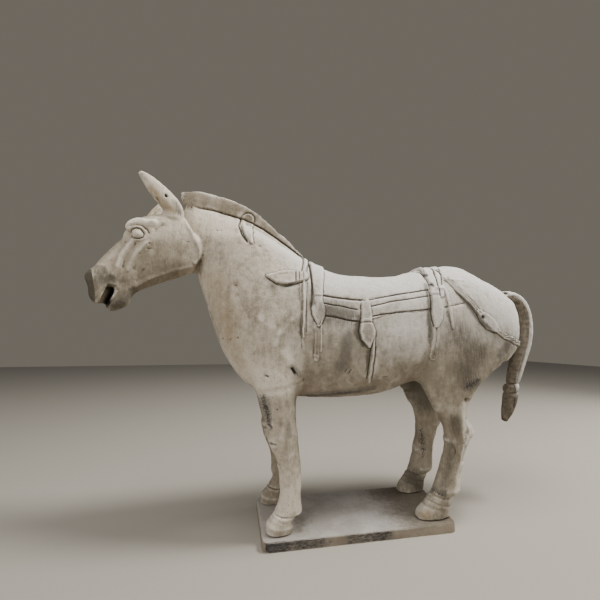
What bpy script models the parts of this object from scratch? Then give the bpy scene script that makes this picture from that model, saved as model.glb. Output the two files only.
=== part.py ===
"""Fired clay horse standing on a low slab, with harness straps in low relief.

The figure is laid out in parts of its height at the withers, as sculptors do: the
withers stand 140 parts above the slab. x runs from nose to tail, y across, z up.
The horse faces -x, its left flank faces -y, and z is counted from the slab's top.
"""
import math

import bmesh
import bpy
import numpy as np
from mathutils import Matrix, Vector

# Driving dimensions, in metres
WITHERS_HEIGHT = 0.336
SLAB_THICKNESS = 0.0114
SLAB_CORNER_RADIUS = 0.007
SLAB_EDGE_ROUND = 0.0010
# How far the slab reaches past the fore toes, the hind heels and the hooves of each side
TOE_MARGIN = 0.0043
HEEL_MARGIN = 0.0010
LEFT_MARGIN = 0.0068
RIGHT_MARGIN = 0.0006
# Left open between pieces that touch
CLEARANCE = 0.0003
# The tail's peg in its socket in the rump
TAIL_TENON_RADIUS = 0.0048
TAIL_TENON_LENGTH = 0.010

# The horse's own measure: one part of 140 to the withers
PART = WITHERS_HEIGHT / 140
HOOF_FLOOR = SLAB_THICKNESS + CLEARANCE
# The figure stands a little to the right of the slab's middle
FIGURE_Y = 1.3
# The head is turned to the horse's left about this x, y
HEAD_TURN = math.radians(23)
POLL = (-93.0, 1.0)

# How fine the clay is worked, in metres, and how many facets each piece keeps
BODY_GRAIN = 0.0022
SKIN_GRAIN = 0.0017
HEAD_GRAIN = 0.00085
HORSE_TRIANGLES = 8500
TAIL_TRIANGLES = 700
# Width of the slope at a strap's edge, in parts
STRAP_BEVEL = 0.55
# Straps end above this height, and stay off the belly's underside below the second, in parts
STRAPS_END = 62
BELLY_TOP = 100
# The legs below this height are hardly smoothed, the body above it fully, in parts
LEGS_END = 45
BODY_STARTS = 75

# Slipped clay: cream on the figure, greyer where the slab is bare
SLIP_COLOUR = (0.60, 0.54, 0.46)
TAIL_COLOUR = (0.55, 0.48, 0.39)
SLAB_COLOUR = (0.42, 0.36, 0.29)
CLAY_ROUGHNESS = 0.85
SHARP_EDGE = math.radians(50)


def clear_scene():
    for item in list(bpy.data.objects):
        bpy.data.objects.remove(item)


def new_collection(name):
    collection = bpy.data.collections.new(name)
    bpy.context.scene.collection.children.link(collection)
    return collection


def finish_piece(item, colour):
    """Smooth shading, and the piece's own material: matt fired clay of this colour."""
    item.data.shade_smooth()
    item.data.set_sharp_from_angle(angle=SHARP_EDGE)
    material = bpy.data.materials.new(item.name + " clay")
    material.use_nodes = True
    shader = material.node_tree.nodes["Principled BSDF"]
    shader.inputs["Base Color"].default_value = (*colour, 1.0)
    shader.inputs["Roughness"].default_value = CLAY_ROUGHNESS
    shader.inputs["Metallic"].default_value = 0.0
    item.data.materials.clear()
    item.data.materials.append(material)


def place(point):
    """Figure parts to metres: x, y from the slab's middle, z from the hooves' soles."""
    x, y, z = point
    return Vector((x * PART, y * PART, HOOF_FLOOR + z * PART))


def spline(rows, per_step):
    """Catmull-Rom through the rows, so a few stations give a smooth run."""
    rows = np.asarray(rows, float)
    ends = np.vstack([2 * rows[0] - rows[1], rows, 2 * rows[-1] - rows[-2]])
    out = []
    for i in range(1, len(ends) - 2):
        a, b, c, d = ends[i - 1], ends[i], ends[i + 1], ends[i + 2]
        for t in np.linspace(0, 1, per_step, endpoint=False):
            out.append(0.5 * (2 * b + (c - a) * t + (2 * a - 5 * b + 4 * c - d) * t * t
                              + (3 * b - a - 3 * c + d) * t ** 3))
    out.append(rows[-1])
    return np.array(out)


def ring(station, sides):
    """One section: it spans top to bottom in the side view, with a width across."""
    top_x, top_z, low_x, low_z, y, half_width, square, fullness = station
    points = []
    for i in range(sides):
        turn = 2 * math.pi * i / sides
        up = math.copysign(abs(math.cos(turn)) ** (2 / square), math.cos(turn))
        side = math.copysign(abs(math.sin(turn)) ** (2 / square), math.sin(turn))
        side *= 1 - fullness * up
        x = (top_x + low_x) / 2 + up * (top_x - low_x) / 2
        z = (top_z + low_z) / 2 + up * (top_z - low_z) / 2
        points.append(Vector((x, y + side * half_width, z)))
    return points


def loft(mesh, stations, per_step=4, sides=28, matrix=Matrix()):
    """Skin a run of sections and close both ends."""
    rings = []
    for station in spline(stations, per_step):
        rings.append([mesh.verts.new(matrix @ p) for p in ring(station, sides)])
    for a, b in zip(rings, rings[1:]):
        for i in range(sides):
            j = (i + 1) % sides
            mesh.faces.new((a[i], a[j], b[j], b[i]))
    for end in (rings[0], rings[-1]):
        hub = mesh.verts.new(sum((v.co for v in end), Vector()) / sides)
        for i in range(sides):
            mesh.faces.new((end[i], end[(i + 1) % sides], hub))


def ball(mesh, centre, radii, tilt=0.0, matrix=Matrix()):
    """An ellipsoid of muscle, tilted in the side view."""
    shape = Matrix.Translation(centre) @ Matrix.Rotation(tilt, 4, "Y") @ Matrix.Diagonal((*radii, 1))
    bmesh.ops.create_uvsphere(mesh, u_segments=24, v_segments=16, radius=1, matrix=matrix @ shape)


# Stations read: top x, top z, bottom x, bottom z, y, half width, squareness, fullness below
NECK = [
    (-93.5, 166.5, -88, 143, 3.5, 5.0, 2.2, 0.0),
    (-85, 170, -85.5, 127, 3.2, 6.8, 2.2, 0.0),
    (-72, 165.5, -81.5, 115, 1.8, 9.4, 2.2, 0.10),
    (-60, 161, -78, 104, 0.7, 12.8, 2.2, 0.20),
    (-48, 154.5, -73.5, 92.5, 0, 16.5, 2.2, 0.26),
    (-36, 147, -67.5, 81, 0, 19.5, 2.2, 0.25),
    (-23, 139.5, -57, 69, 0, 22.5, 2.2, 0.18),
    (-12, 134.5, -42, 63.5, 0, 24.0, 2.2, 0.10),
]
TRUNK = [
    (-30, 137, -52, 70, 0, 20.0, 2.2, 0.15),
    (-18, 136.5, -42, 64, 0, 23.5, 2.2, 0.12),
    (-5, 132.6, -27, 62, 0, 25.5, 2.25, 0.08),
    (9, 131.8, -5, 61.2, 0, 26.5, 2.3, 0.06),
    (22, 131.6, 14, 62.5, 0, 27.0, 2.3, 0.05),
    (35, 133.3, 31, 67, 0, 26.5, 2.3, 0.03),
    (47, 136.8, 47, 72, 0, 25.5, 2.2, 0.0),
    (62, 139, 63, 76, 0, 24.5, 2.2, 0.0),
    (74, 137.5, 78, 80, 0, 23.5, 2.2, 0.0),
    (86, 132, 90, 85, 0, 21.0, 2.1, 0.0),
    (98, 126.5, 100, 91, 0, 17.0, 2.0, 0.0),
    (108, 119, 108, 99, 0, 9.0, 2.0, 0.0),
]
# Head stations in its own plane: x runs from the poll towards the nose, z up
HEAD = [
    (2, 158.5, -6.5, 149, 0, 7.4, 2.2, 0.0),
    (6.5, 160.8, -10.6, 142, 0, 10.4, 2.5, 0.0),
    (12, 161.2, -8.6, 133.4, 0, 11.2, 2.6, 0.0),
    (19, 159.8, 3.0, 127.6, 0, 10.6, 2.6, -0.06),
    (26, 156.0, 12, 123.8, 0, 9.4, 2.5, -0.12),
    (31, 148.8, 18, 120.8, 0, 8.0, 2.4, -0.08),
    (35.2, 142, 22.2, 118.4, 0, 6.9, 2.3, 0.0),
    (39.4, 135.4, 25.6, 114.2, 0, 6.4, 2.3, 0.0),
    (43.2, 129.8, 28.8, 110.4, 0, 6.4, 2.4, 0.0),
    (46.4, 125.2, 32.0, 108.2, 0, 6.0, 2.4, 0.0),
    (46.7, 121.4, 35.6, 107.8, 0, 5.3, 2.3, 0.0),
    (45.4, 117.2, 39.0, 109.8, 0, 4.2, 2.2, 0.0),
]
# The open mouth: middle of the gap, half length, half height, tilt and half the tongue's width
MOUTH = (37.4, 112.8)
MOUTH_SIZE = (7.0, 2.5)
MOUTH_TILT = math.radians(62)
TONGUE_HALF = 0.9
HEAD_MIDDLE_WIDTH = 6.0
NEAR_EAR = [
    (2.5, 156, 12.5, 154, 6.0, 3.4, 2.2, 0.0),
    (2.8, 162.0, 14.2, 160, 7.0, 3.3, 2.2, 0.0),
    (5.3, 167.2, 16.4, 162.8, 7.8, 2.9, 2.1, 0.0),
    (10, 171.8, 19.3, 165.8, 8.2, 2.5, 2.0, 0.0),
    (15, 175.4, 22.2, 169.8, 8.4, 2.2, 2.0, 0.0),
    (20.5, 178.4, 25.0, 174.4, 8.4, 1.9, 2.0, 0.0),
    (25.6, 180.2, 27.2, 178.4, 8.2, 1.3, 2.0, 0.0),
]
FAR_EAR = [
    (6, 155, 19, 154, -6.0, 3.4, 2.2, 0.0),
    (6.5, 162, 20.2, 160.5, -6.8, 3.2, 2.2, 0.0),
    (7.0, 167, 18.6, 167.0, -7.4, 2.8, 2.1, 0.0),
    (7.8, 171, 15.8, 172, -7.8, 2.4, 2.0, 0.0),
    (9.0, 174.4, 13.0, 175.4, -7.8, 1.9, 2.0, 0.0),
    (10.2, 176.6, 11.6, 177.0, -7.6, 1.3, 2.0, 0.0),
]
# Each ear's hollow: its middle, half length, half depth, tilt and half width
EAR_HOLLOWS = [
    ((19.0, 6.4, 166.4), (8.5, 1.9, 2.6), math.radians(-42)),
    ((15.6, -5.0, 167.4), (2.6, 1.7, 6.5), math.radians(-14)),
]
MANE = [
    (-97.0, 177.4, -89, 158, 1.8, 1.7, 5.0, 0.15),
    (-84, 178.0, -80, 157, 1.5, 1.7, 5.0, 0.2),
    (-72.4, 175.5, -69, 154, 0.8, 1.7, 5.0, 0.2),
    (-60.2, 171.2, -58, 150, 0.3, 1.7, 5.0, 0.2),
    (-49.7, 164.4, -48, 145, 0, 1.7, 5.0, 0.2),
    (-41.6, 157.4, -41, 140, 0, 1.6, 5.0, 0.2),
    (-32.4, 149.3, -33, 135, 0, 1.6, 5.0, 0.2),
    (-24.5, 142.2, -27, 130, 0, 1.5, 5.0, 0.2),
]
# Leg stations read: front x, z, back x, z, y, half width, squareness, fullness
FORE_LEG = [
    (-60, 96, -20, 100, 12.0, 9.5, 2.2, 0),
    (-58, 80, -25, 82, 14.5, 9.2, 2.2, 0),
    (-54, 68.5, -31.5, 68, 16.0, 8.2, 2.2, 0),
    (-51, 59, -32.8, 57.5, 16.3, 7.4, 2.2, 0),
    (-48.6, 51, -32.2, 49, 16.5, 6.9, 2.2, 0),
    (-46, 42.5, -32.0, 42, 16.5, 6.0, 2.2, 0),
    (-43.3, 35, -31.6, 34, 16.6, 5.3, 2.2, 0),
    (-41.8, 27, -31.4, 26, 16.6, 5.1, 2.2, 0),
    (-41.6, 20, -31.0, 18, 16.6, 5.2, 2.2, 0),
    (-43, 14.5, -30.2, 11.5, 16.6, 5.7, 2.2, 0),
    (-45, 10.5, -33.8, 7.6, 16.6, 5.6, 2.2, 0),
    (-46.8, 6.5, -34.2, 4.5, 16.6, 5.8, 2.3, 0),
    (-48.2, 2.0, -34.2, 1.0, 16.4, 5.9, 2.4, 0),
    (-48.2, -4, -34.4, -4, 16.4, 5.9, 2.4, 0),
]
HIND_LEG = [
    (44, 104, 104, 112, 9.0, 14.0, 2.2, 0),
    (38, 92, 103, 97, 11.5, 13.5, 2.2, 0),
    (36.5, 80, 95.4, 85.2, 13.5, 12.0, 2.2, 0),
    (39.0, 68, 82.0, 74.2, 14.8, 10.2, 2.2, 0),
    (44, 58, 70.0, 64.6, 15.6, 8.4, 2.2, 0),
    (48, 50, 66.6, 55, 16.2, 7.2, 2.2, 0),
    (49, 43, 69.2, 44, 16.4, 6.7, 2.2, 0),
    (48.2, 36, 65.0, 35.5, 16.5, 6.1, 2.2, 0),
    (46, 28.5, 62.4, 27, 16.5, 5.6, 2.2, 0),
    (43.4, 21, 60.6, 19.5, 16.5, 5.5, 2.2, 0),
    (41.5, 16, 59.8, 14, 16.5, 6.0, 2.2, 0),
    (38.8, 11.5, 53.6, 8.5, 16.5, 5.7, 2.2, 0),
    (35.8, 7.5, 51.4, 5, 16.5, 5.8, 2.3, 0),
    (32.0, 2.2, 50.8, 1.4, 16.4, 5.9, 2.4, 0),
    (31.8, -4, 50.6, -4, 16.4, 5.9, 2.4, 0),
]
# The right hind leg stands this much further back than the left
RIGHT_HIND_SHIFT = 3.8
# Tail stations: x and z of its middle line, and its radius
TAIL = [
    (110.4, 121.2, 3.2), (113.6, 121.4, 3.6), (117.6, 119.6, 3.8), (121.4, 115.4, 3.8),
    (123.2, 109, 3.9), (122.9, 101, 4.2), (120.6, 92, 4.5), (117.1, 84, 4.6),
    (113.9, 76, 4.3), (111.6, 69.5, 3.9), (110.3, 65.5, 3.4), (109.3, 62.5, 4.1), (107.8, 56, 4.0),
    (105.4, 49, 3.3), (102.9, 43.0, 1.7),
]
# The tail's tenon: where the rump's skin is at its height, and the tail's shoulder
TAIL_HEIGHT = 121.2
RUMP_SKIN = 104.6
TAIL_SHOULDER = 110.4
# A strap of clay over the joint: x, z, half thickness
TAIL_STRAP = [(103.2, 124.0, 0.6), (107.5, 124.6, 0.7), (112, 124.9, 0.7), (117.2, 123.4, 0.7)]

# Harness carved in low relief on both flanks: each run is x, z, half width, and its height
HARNESS = {
    "withers band": (0.7, [(-24.4, 142, 1.2), (-26.2, 135, 1.2), (-28.4, 130, 1.2)]),
    "withers strap": (1.0, [(-18.2, 142, 4.2), (-19.6, 133, 3.9), (-20.4, 128, 3.3),
                            (-21.2, 122, 2.8), (-22, 116.4, 2.8)]),
    "withers leaf": (1.4, [(-22, 115.4, 2.5), (-22.2, 110, 3.4), (-22, 106, 3.1), (-22.5, 101.5, 1.0)]),
    "withers ribbon": (0.5, [(-23.0, 102, 1.7), (-23.5, 94, 2.0), (-23.6, 84, 1.2)]),
    "withers cord": (0.7, [(-27.8, 128, 0.9), (-28.6, 117, 0.9), (-29.6, 104, 0.9), (-30.4, 88, 0.8)]),
    "saddle cloth": (0.5, [(-19, 111.8, 5.4), (-6, 109.6, 5.5), (1, 109.1, 5.4), (17.5, 112.6, 4.8),
                           (41, 115.8, 5.6)]),
    "middle block": (1.1, [(3.6, 113.2, 2.4), (3.2, 103.4, 2.9)]),
    "middle leaf": (1.4, [(2.9, 102, 3.2), (3.1, 98.5, 4.2), (3.1, 94.5, 3.5), (3.8, 90.6, 0.8)]),
    "middle cord": (0.8, [(6.2, 95.6, 0.8), (5.6, 87, 0.9), (5.0, 79, 0.9), (5.3, 72.4, 1.0)]),
    "croup strap": (1.1, [(51, 141, 3.1), (48.6, 137, 3.0), (46.6, 132, 2.6), (45, 123.4, 2.1),
                          (44.3, 118, 2.6)]),
    "croup lining": (0.6, [(56.4, 141, 2.3), (54, 137.5, 2.3), (51.2, 132.5, 2.0), (49.6, 125, 1.7),
                           (48.8, 118.5, 1.3)]),
    "croup leaf": (1.4, [(44.2, 117.2, 2.5), (44.2, 110.5, 3.5), (43.6, 105.6, 2.9), (42.8, 101.4, 0.9)]),
    "croup ribbon": (0.5, [(43.5, 102, 1.7), (43.1, 94, 2.0), (42.2, 85, 2.4)]),
    "hanging strip": (0.7, [(53.4, 133, 0.9), (51.4, 126.4, 0.9), (51.9, 119.8, 0.9), (52.7, 111, 0.8),
                            (53.9, 100.4, 0.7)]),
    "crupper cord": (0.8, [(54.8, 129, 1.1), (59.9, 121.3, 1.2), (67, 114.2, 1.2), (70.8, 109, 1.4)]),
    "crupper leaf": (1.3, [(70.8, 109.5, 1.2), (73.8, 106, 2.9), (77.3, 102.6, 3.4), (80.3, 100.2, 2.0),
                           (82.3, 98.8, 1.0)]),
    "crupper rope": (1.0, [(82.3, 98.8, 1.2), (87.5, 95.6, 1.3), (97.9, 92.6, 1.5), (112, 90.6, 1.5)]),
}
LEFT_ONLY = {
    "leaf knot": (1.3, [(-28.3, 128, 2.4), (-33, 127.3, 3.5), (-38.2, 126.6, 4.0), (-43, 126.6, 3.1),
                        (-48.5, 127.4, 0.6)]),
    "mane lock": (1.0, [(-62.6, 164, 2.6), (-62.4, 158, 2.3), (-60.4, 152, 1.8), (-57.8, 145.8, 0.5)]),
}


def head_matrix():
    """The head's own plane, turned to the horse's left about the poll."""
    turn = Matrix.Rotation(math.pi + HEAD_TURN, 4, "Z")
    return Matrix.Translation((POLL[0], POLL[1], 0)) @ turn


def leg(mesh, stations, side, shift):
    rows = [(a + shift, b, c + shift, d, side * y, w, s, f) for a, b, c, d, y, w, s, f in stations]
    loft(mesh, rows)


def add_body_masses(mesh):
    loft(mesh, NECK)
    loft(mesh, TRUNK)
    for side in (-1, 1):
        leg(mesh, FORE_LEG, side, 0)
        leg(mesh, HIND_LEG, side, 0 if side < 0 else RIGHT_HIND_SHIFT)
        ball(mesh, (-47, side * 10, 90), (19, 13.5, 28), math.radians(-25))
        ball(mesh, (80, side * 8, 104), (27.5, 16.5, 26), 0)


def add_head(mesh):
    head = head_matrix()
    for stations in (HEAD, NEAR_EAR, FAR_EAR):
        loft(mesh, stations, matrix=head)
    for side in (-1, 1):
        ball(mesh, (25.6, side * 6.8, 150.8), (5.2, 3.7, 3.0), math.radians(25), head)
        ball(mesh, (25.6, side * 7.2, 146.8), (3.0, 2.7, 2.2), math.radians(25), head)


def add_head_cuts(mesh):
    """The open mouth, parted by the tongue, and the hollows of the ears."""
    head = head_matrix()
    across = HEAD_MIDDLE_WIDTH
    for side in (-1, 1):
        centre = (MOUTH[0], side * (TONGUE_HALF + across), MOUTH[1])
        ball(mesh, centre, (MOUTH_SIZE[0], across, MOUTH_SIZE[1]), MOUTH_TILT, head)
    for centre, radii, tilt in EAR_HOLLOWS:
        ball(mesh, centre, radii, tilt, head)


def mesh_object(name, mesh, collection):
    data = bpy.data.meshes.new(name)
    mesh.normal_update()
    mesh.to_mesh(data)
    mesh.free()
    item = bpy.data.objects.new(name, data)
    collection.objects.link(item)
    return item


def baked(item):
    """Replace the object's mesh by its evaluated one and drop its modifiers."""
    bpy.context.view_layer.update()
    graph = bpy.context.evaluated_depsgraph_get()
    data = bpy.data.meshes.new_from_object(item.evaluated_get(graph))
    item.modifiers.clear()
    item.data = data
    return item


def remesh(item, size):
    modifier = item.modifiers.new("clay skin", "REMESH")
    modifier.mode = "VOXEL"
    modifier.voxel_size = size
    return baked(item)


def neighbours(data):
    edges = np.zeros(len(data.edges) * 2, int)
    data.edges.foreach_get("vertices", edges)
    edges = edges.reshape(-1, 2)
    count = np.bincount(edges.ravel(), minlength=len(data.vertices))
    return edges, count[:, None]


def points_of(data):
    points = np.zeros(len(data.vertices) * 3)
    data.vertices.foreach_get("co", points)
    return points.reshape(-1, 3)


def relax(item, rounds, strength, keep=0.0):
    """Smooth the skin; strength is a number or one value a vertex.

    keep is the part of the shrinkage that is given back each round.
    """
    data = item.data
    edges, count = neighbours(data)
    points = points_of(data)
    for _ in range(rounds):
        for amount in (strength, -keep * strength):
            total = np.zeros_like(points)
            np.add.at(total, edges[:, 0], points[edges[:, 1]])
            np.add.at(total, edges[:, 1], points[edges[:, 0]])
            points = points + amount * (total / count - points)
    data.vertices.foreach_set("co", points.ravel())
    data.update()


def to_world(mesh):
    """Figure parts to metres, standing on the slab."""
    for vertex in mesh.verts:
        x, y, z = vertex.co
        vertex.co = place((x, y + FIGURE_Y, z))
    bmesh.ops.recalc_face_normals(mesh, faces=mesh.faces[:])


def join(item, other):
    """Put both meshes in one object, as loose bodies."""
    mesh = bmesh.new()
    mesh.from_mesh(item.data)
    mesh.from_mesh(other.data)
    mesh.to_mesh(item.data)
    mesh.free()
    bpy.data.objects.remove(other)


def combine(item, other, operation):
    """Boolean the other object into the item and remove it."""
    modifier = item.modifiers.new("combine", "BOOLEAN")
    modifier.operation = operation
    modifier.solver = "EXACT"
    modifier.object = other
    baked(item)
    bpy.data.objects.remove(other)


def relief(x, z, runs):
    """Height of the tallest harness run at each flank point, in parts."""
    height = np.zeros(len(x))
    for tall, route in runs.values():
        for (ax, az, aw), (bx, bz, bw) in zip(route, route[1:]):
            length = math.hypot(bx - ax, bz - az)
            along = ((x - ax) * (bx - ax) + (z - az) * (bz - az)) / length ** 2
            along = np.clip(along, 0, 1)
            away = np.hypot(x - ax - along * (bx - ax), z - az - along * (bz - az))
            edge = np.clip((aw + (bw - aw) * along - away) / STRAP_BEVEL + 0.5, 0, 1)
            height = np.maximum(height, tall * edge)
    return height


def carve_harness(item):
    data = item.data
    points = points_of(data)
    normals = np.zeros(len(data.vertices) * 3)
    data.vertices.foreach_get("normal", normals)
    normals = normals.reshape(-1, 3)
    x = points[:, 0] / PART
    y = points[:, 1] / PART - FIGURE_Y
    z = (points[:, 2] - HOOF_FLOOR) / PART
    sideways = normals[:, 1]
    belly = (z < BELLY_TOP) & (x < HIND_LEG[2][2]) & (np.abs(sideways) < 0.12)
    height = np.where((z > STRAPS_END) & ~belly, relief(x, z, HARNESS), 0)
    height = np.maximum(height, np.where(sideways < -0.2, relief(x, z, LEFT_ONLY), 0))
    points += normals * (height * PART)[:, None]
    data.vertices.foreach_set("co", points.ravel())
    data.update()


def cut_below(item, level):
    """Saw the soles flat."""
    mesh = bmesh.new()
    mesh.from_mesh(item.data)
    everything = mesh.verts[:] + mesh.edges[:] + mesh.faces[:]
    cut = bmesh.ops.bisect_plane(mesh, geom=everything, plane_co=(0, 0, level),
                                 plane_no=(0, 0, 1), clear_inner=True)
    rims = [e for e in cut["geom_cut"] if isinstance(e, bmesh.types.BMEdge)]
    bmesh.ops.holes_fill(mesh, edges=rims)
    bmesh.ops.triangulate(mesh, faces=mesh.faces[:])
    mesh.to_mesh(item.data)
    mesh.free()


def thin_out(item, triangles):
    modifier = item.modifiers.new("fewer facets", "DECIMATE")
    modifier.ratio = triangles / sum(len(p.vertices) - 2 for p in item.data.polygons)
    return baked(item)


def build_horse(collection):
    mesh = bmesh.new()
    add_body_masses(mesh)
    to_world(mesh)
    horse = remesh(mesh_object("horse", mesh, collection), BODY_GRAIN)
    height = (points_of(horse.data)[:, 2] - HOOF_FLOOR) / PART
    body_share = np.clip((height - LEGS_END) / (BODY_STARTS - LEGS_END), 0, 1)[:, None]
    relax(horse, 36, 0.12 + 0.5 * body_share)
    mesh = bmesh.new()
    add_head(mesh)
    to_world(mesh)
    head = remesh(mesh_object("head", mesh, collection), HEAD_GRAIN)
    mesh = bmesh.new()
    add_head_cuts(mesh)
    to_world(mesh)
    combine(head, mesh_object("head cuts", mesh, collection), "DIFFERENCE")
    join(horse, head)
    mesh = bmesh.new()
    loft(mesh, MANE, sides=16)
    to_world(mesh)
    join(horse, mesh_object("mane", mesh, collection))
    remesh(horse, SKIN_GRAIN)
    relax(horse, 5, 0.5, 0.4)
    carve_harness(horse)
    cut_below(horse, HOOF_FLOOR)
    thin_out(horse, HORSE_TRIANGLES)
    bottom = RUMP_SKIN - (TAIL_TENON_LENGTH + CLEARANCE) / PART
    socket = mesh_object("socket", tenon(TAIL_TENON_RADIUS + CLEARANCE, bottom, TAIL_SHOULDER), collection)
    combine(horse, socket, "DIFFERENCE")
    finish_piece(horse, SLIP_COLOUR)


def square_sections(path, half_width=None):
    """Sections square to a middle line of x, z, half thickness rows."""
    path = spline(path, 3)
    steps = np.gradient(path[:, :2], axis=0)
    rows = []
    for (x, z, radius), (dx, dz) in zip(path, steps):
        size = math.hypot(dx, dz)
        nx, nz = -dz / size * radius, dx / size * radius
        rows.append((x + nx, z + nz, x - nx, z - nz, 0, half_width or radius, 2.5, 0))
    return rows


def tenon(radius, start, end):
    """A round peg along x at the tail's height, start and end in parts."""
    mesh = bmesh.new()
    matrix = Matrix.Translation(((start + end) / 2, 0, TAIL_HEIGHT)) @ Matrix.Rotation(math.pi / 2, 4, "Y")
    bmesh.ops.create_cone(mesh, cap_ends=True, segments=24, radius1=radius / PART,
                          radius2=radius / PART, depth=end - start, matrix=matrix)
    to_world(mesh)
    return mesh


def build_tail(collection):
    mesh = bmesh.new()
    loft(mesh, square_sections(TAIL), per_step=1, sides=20)
    loft(mesh, square_sections(TAIL_STRAP, 1.5), per_step=1, sides=16)
    to_world(mesh)
    tail = remesh(mesh_object("tail", mesh, collection), HEAD_GRAIN)
    relax(tail, 3, 0.5, 0.4)
    thin_out(tail, TAIL_TRIANGLES)
    start = RUMP_SKIN - TAIL_TENON_LENGTH / PART
    peg = mesh_object("tenon", tenon(TAIL_TENON_RADIUS, start, TAIL_SHOULDER + 2), collection)
    combine(tail, peg, "UNION")
    finish_piece(tail, TAIL_COLOUR)


def slab_corners():
    """The slab is cut to the stance: its right end follows the two hind heels."""
    toe, _, _, _, stance, hoof_half = FORE_LEG[-2][:6]
    heel = HIND_LEG[-2][2]
    left_y = (FIGURE_Y - stance - hoof_half) * PART - LEFT_MARGIN
    right_y = (FIGURE_Y + stance + hoof_half) * PART + RIGHT_MARGIN
    front = toe * PART - TOE_MARGIN
    slant = RIGHT_HIND_SHIFT / (2 * stance)
    back = [heel * PART + HEEL_MARGIN + slant * (y - (FIGURE_Y - stance) * PART) for y in (left_y, right_y)]
    return [(front, left_y), (back[0], left_y), (back[1], right_y), (front, right_y)]


def build_slab(collection):
    corners = slab_corners()
    mesh = bmesh.new()
    face = mesh.faces.new([mesh.verts.new((x, y, 0)) for x, y in corners])
    top = bmesh.ops.extrude_face_region(mesh, geom=[face])["geom"]
    raised = [v for v in top if isinstance(v, bmesh.types.BMVert)]
    bmesh.ops.translate(mesh, verts=raised, vec=(0, 0, SLAB_THICKNESS))
    bmesh.ops.recalc_face_normals(mesh, faces=mesh.faces[:])
    upright = [e for e in mesh.edges if abs(e.verts[0].co.z - e.verts[1].co.z) > SLAB_THICKNESS / 2]
    bmesh.ops.bevel(mesh, geom=upright, offset=SLAB_CORNER_RADIUS, segments=6, profile=0.5,
                    affect="EDGES", material=-1)
    rim = [e for e in mesh.edges if all(v.co.z > SLAB_THICKNESS / 2 for v in e.verts)]
    bmesh.ops.bevel(mesh, geom=rim, offset=SLAB_EDGE_ROUND, segments=2, profile=0.5,
                    affect="EDGES", material=-1)
    finish_piece(mesh_object("base_slab", mesh, collection), SLAB_COLOUR)


def main():
    clear_scene()
    horse_parts = new_collection("terracotta horse")
    build_horse(horse_parts)
    build_tail(horse_parts)
    build_slab(horse_parts)


main()
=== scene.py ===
# %% [markdown]
# # A fired clay horse on its slab
#
# The real figure is one hollow body of fired clay that was pressed in moulds, joined, touched up with
# fingers and a wooden tool, and coated with a pale slip. The slip has worn thin, so the brown clay shows
# through. The frame holds the plain solids. This file gives each of them its skin: the same form with a
# denser mesh, the finer carving, the marks of age, and the fired clay itself.

# %% Load the frame
import math

import bmesh
import bpy
import numpy as np
from mathutils import Matrix, Vector


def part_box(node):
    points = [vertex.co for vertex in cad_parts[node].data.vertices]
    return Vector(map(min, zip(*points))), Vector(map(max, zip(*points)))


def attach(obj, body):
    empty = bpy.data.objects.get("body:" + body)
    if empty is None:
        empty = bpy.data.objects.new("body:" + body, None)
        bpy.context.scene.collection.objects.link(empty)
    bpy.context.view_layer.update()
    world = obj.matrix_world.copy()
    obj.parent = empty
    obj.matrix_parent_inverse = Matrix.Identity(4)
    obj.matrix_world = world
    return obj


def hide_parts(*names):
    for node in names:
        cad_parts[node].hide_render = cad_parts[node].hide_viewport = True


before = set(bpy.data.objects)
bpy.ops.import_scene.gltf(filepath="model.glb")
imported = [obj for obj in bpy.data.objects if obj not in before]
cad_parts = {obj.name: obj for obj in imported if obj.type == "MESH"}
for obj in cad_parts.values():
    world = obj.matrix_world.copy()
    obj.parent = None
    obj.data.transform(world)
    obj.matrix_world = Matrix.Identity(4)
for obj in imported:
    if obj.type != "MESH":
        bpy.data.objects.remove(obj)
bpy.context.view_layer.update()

print("frame holds", sorted(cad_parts))

# %% [markdown]
# ## Measures
#
# A sculptor measures a horse in parts of its height. Here the withers stand 140 parts above the slab and a
# part is 2.4 mm. x runs from nose to tail, y from the left flank to the right, and z up from the hooves.
# The head is turned to the left about the poll, so it has its own pair of directions: s forward along the
# head, and t out to its left cheek.

# %% The sculptor's parts
PART = 0.336 / 140
HOOF_FLOOR = 0.0117
FIGURE_Y = 1.3
POLL = (-93.0, 1.0)
HEAD_TURN = math.radians(23)


def in_parts(points):
    """Metres to the sculptor's parts, as x, y, z columns."""
    x, y, z = points.T
    return x / PART, y / PART - FIGURE_Y, (z - HOOF_FLOOR) / PART


def along_head(x, y):
    """The head's own directions: s forward of the poll, t out to the left cheek."""
    turn = math.pi + HEAD_TURN
    dx, dy = x - POLL[0], y - POLL[1]
    return math.cos(turn) * dx + math.sin(turn) * dy, math.cos(turn) * dy - math.sin(turn) * dx


print("one part is", round(PART * 1000, 2), "mm")

# %% [markdown]
# ## Camera
#
# The view is a little above the slab and below the back, slightly from the front of the flank. The lens is
# wide, so the head and the rump look away from each other. The picture is square.

# %% The camera
IMAGE = 600
FOCAL_PIXELS = 350
SENSOR = 36.0
CAMERA_PLACE = Vector((-0.15612, -0.47532, 0.23741))
CAMERA_YAW = 0.1859
CAMERA_PITCH = 0.1119

camera_data = bpy.data.cameras.new("camera")
camera_data.sensor_width = SENSOR
camera_data.lens = FOCAL_PIXELS / IMAGE * SENSOR
camera = bpy.data.objects.new("camera", camera_data)
bpy.context.scene.collection.objects.link(camera)
looking = Vector((math.sin(CAMERA_YAW) * math.cos(CAMERA_PITCH),
                  math.cos(CAMERA_YAW) * math.cos(CAMERA_PITCH),
                  math.sin(CAMERA_PITCH)))
camera.location = CAMERA_PLACE
camera.rotation_euler = looking.to_track_quat("-Z", "Y").to_euler()
bpy.context.scene.camera = camera
print("lens", round(camera_data.lens, 2), "mm")

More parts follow.
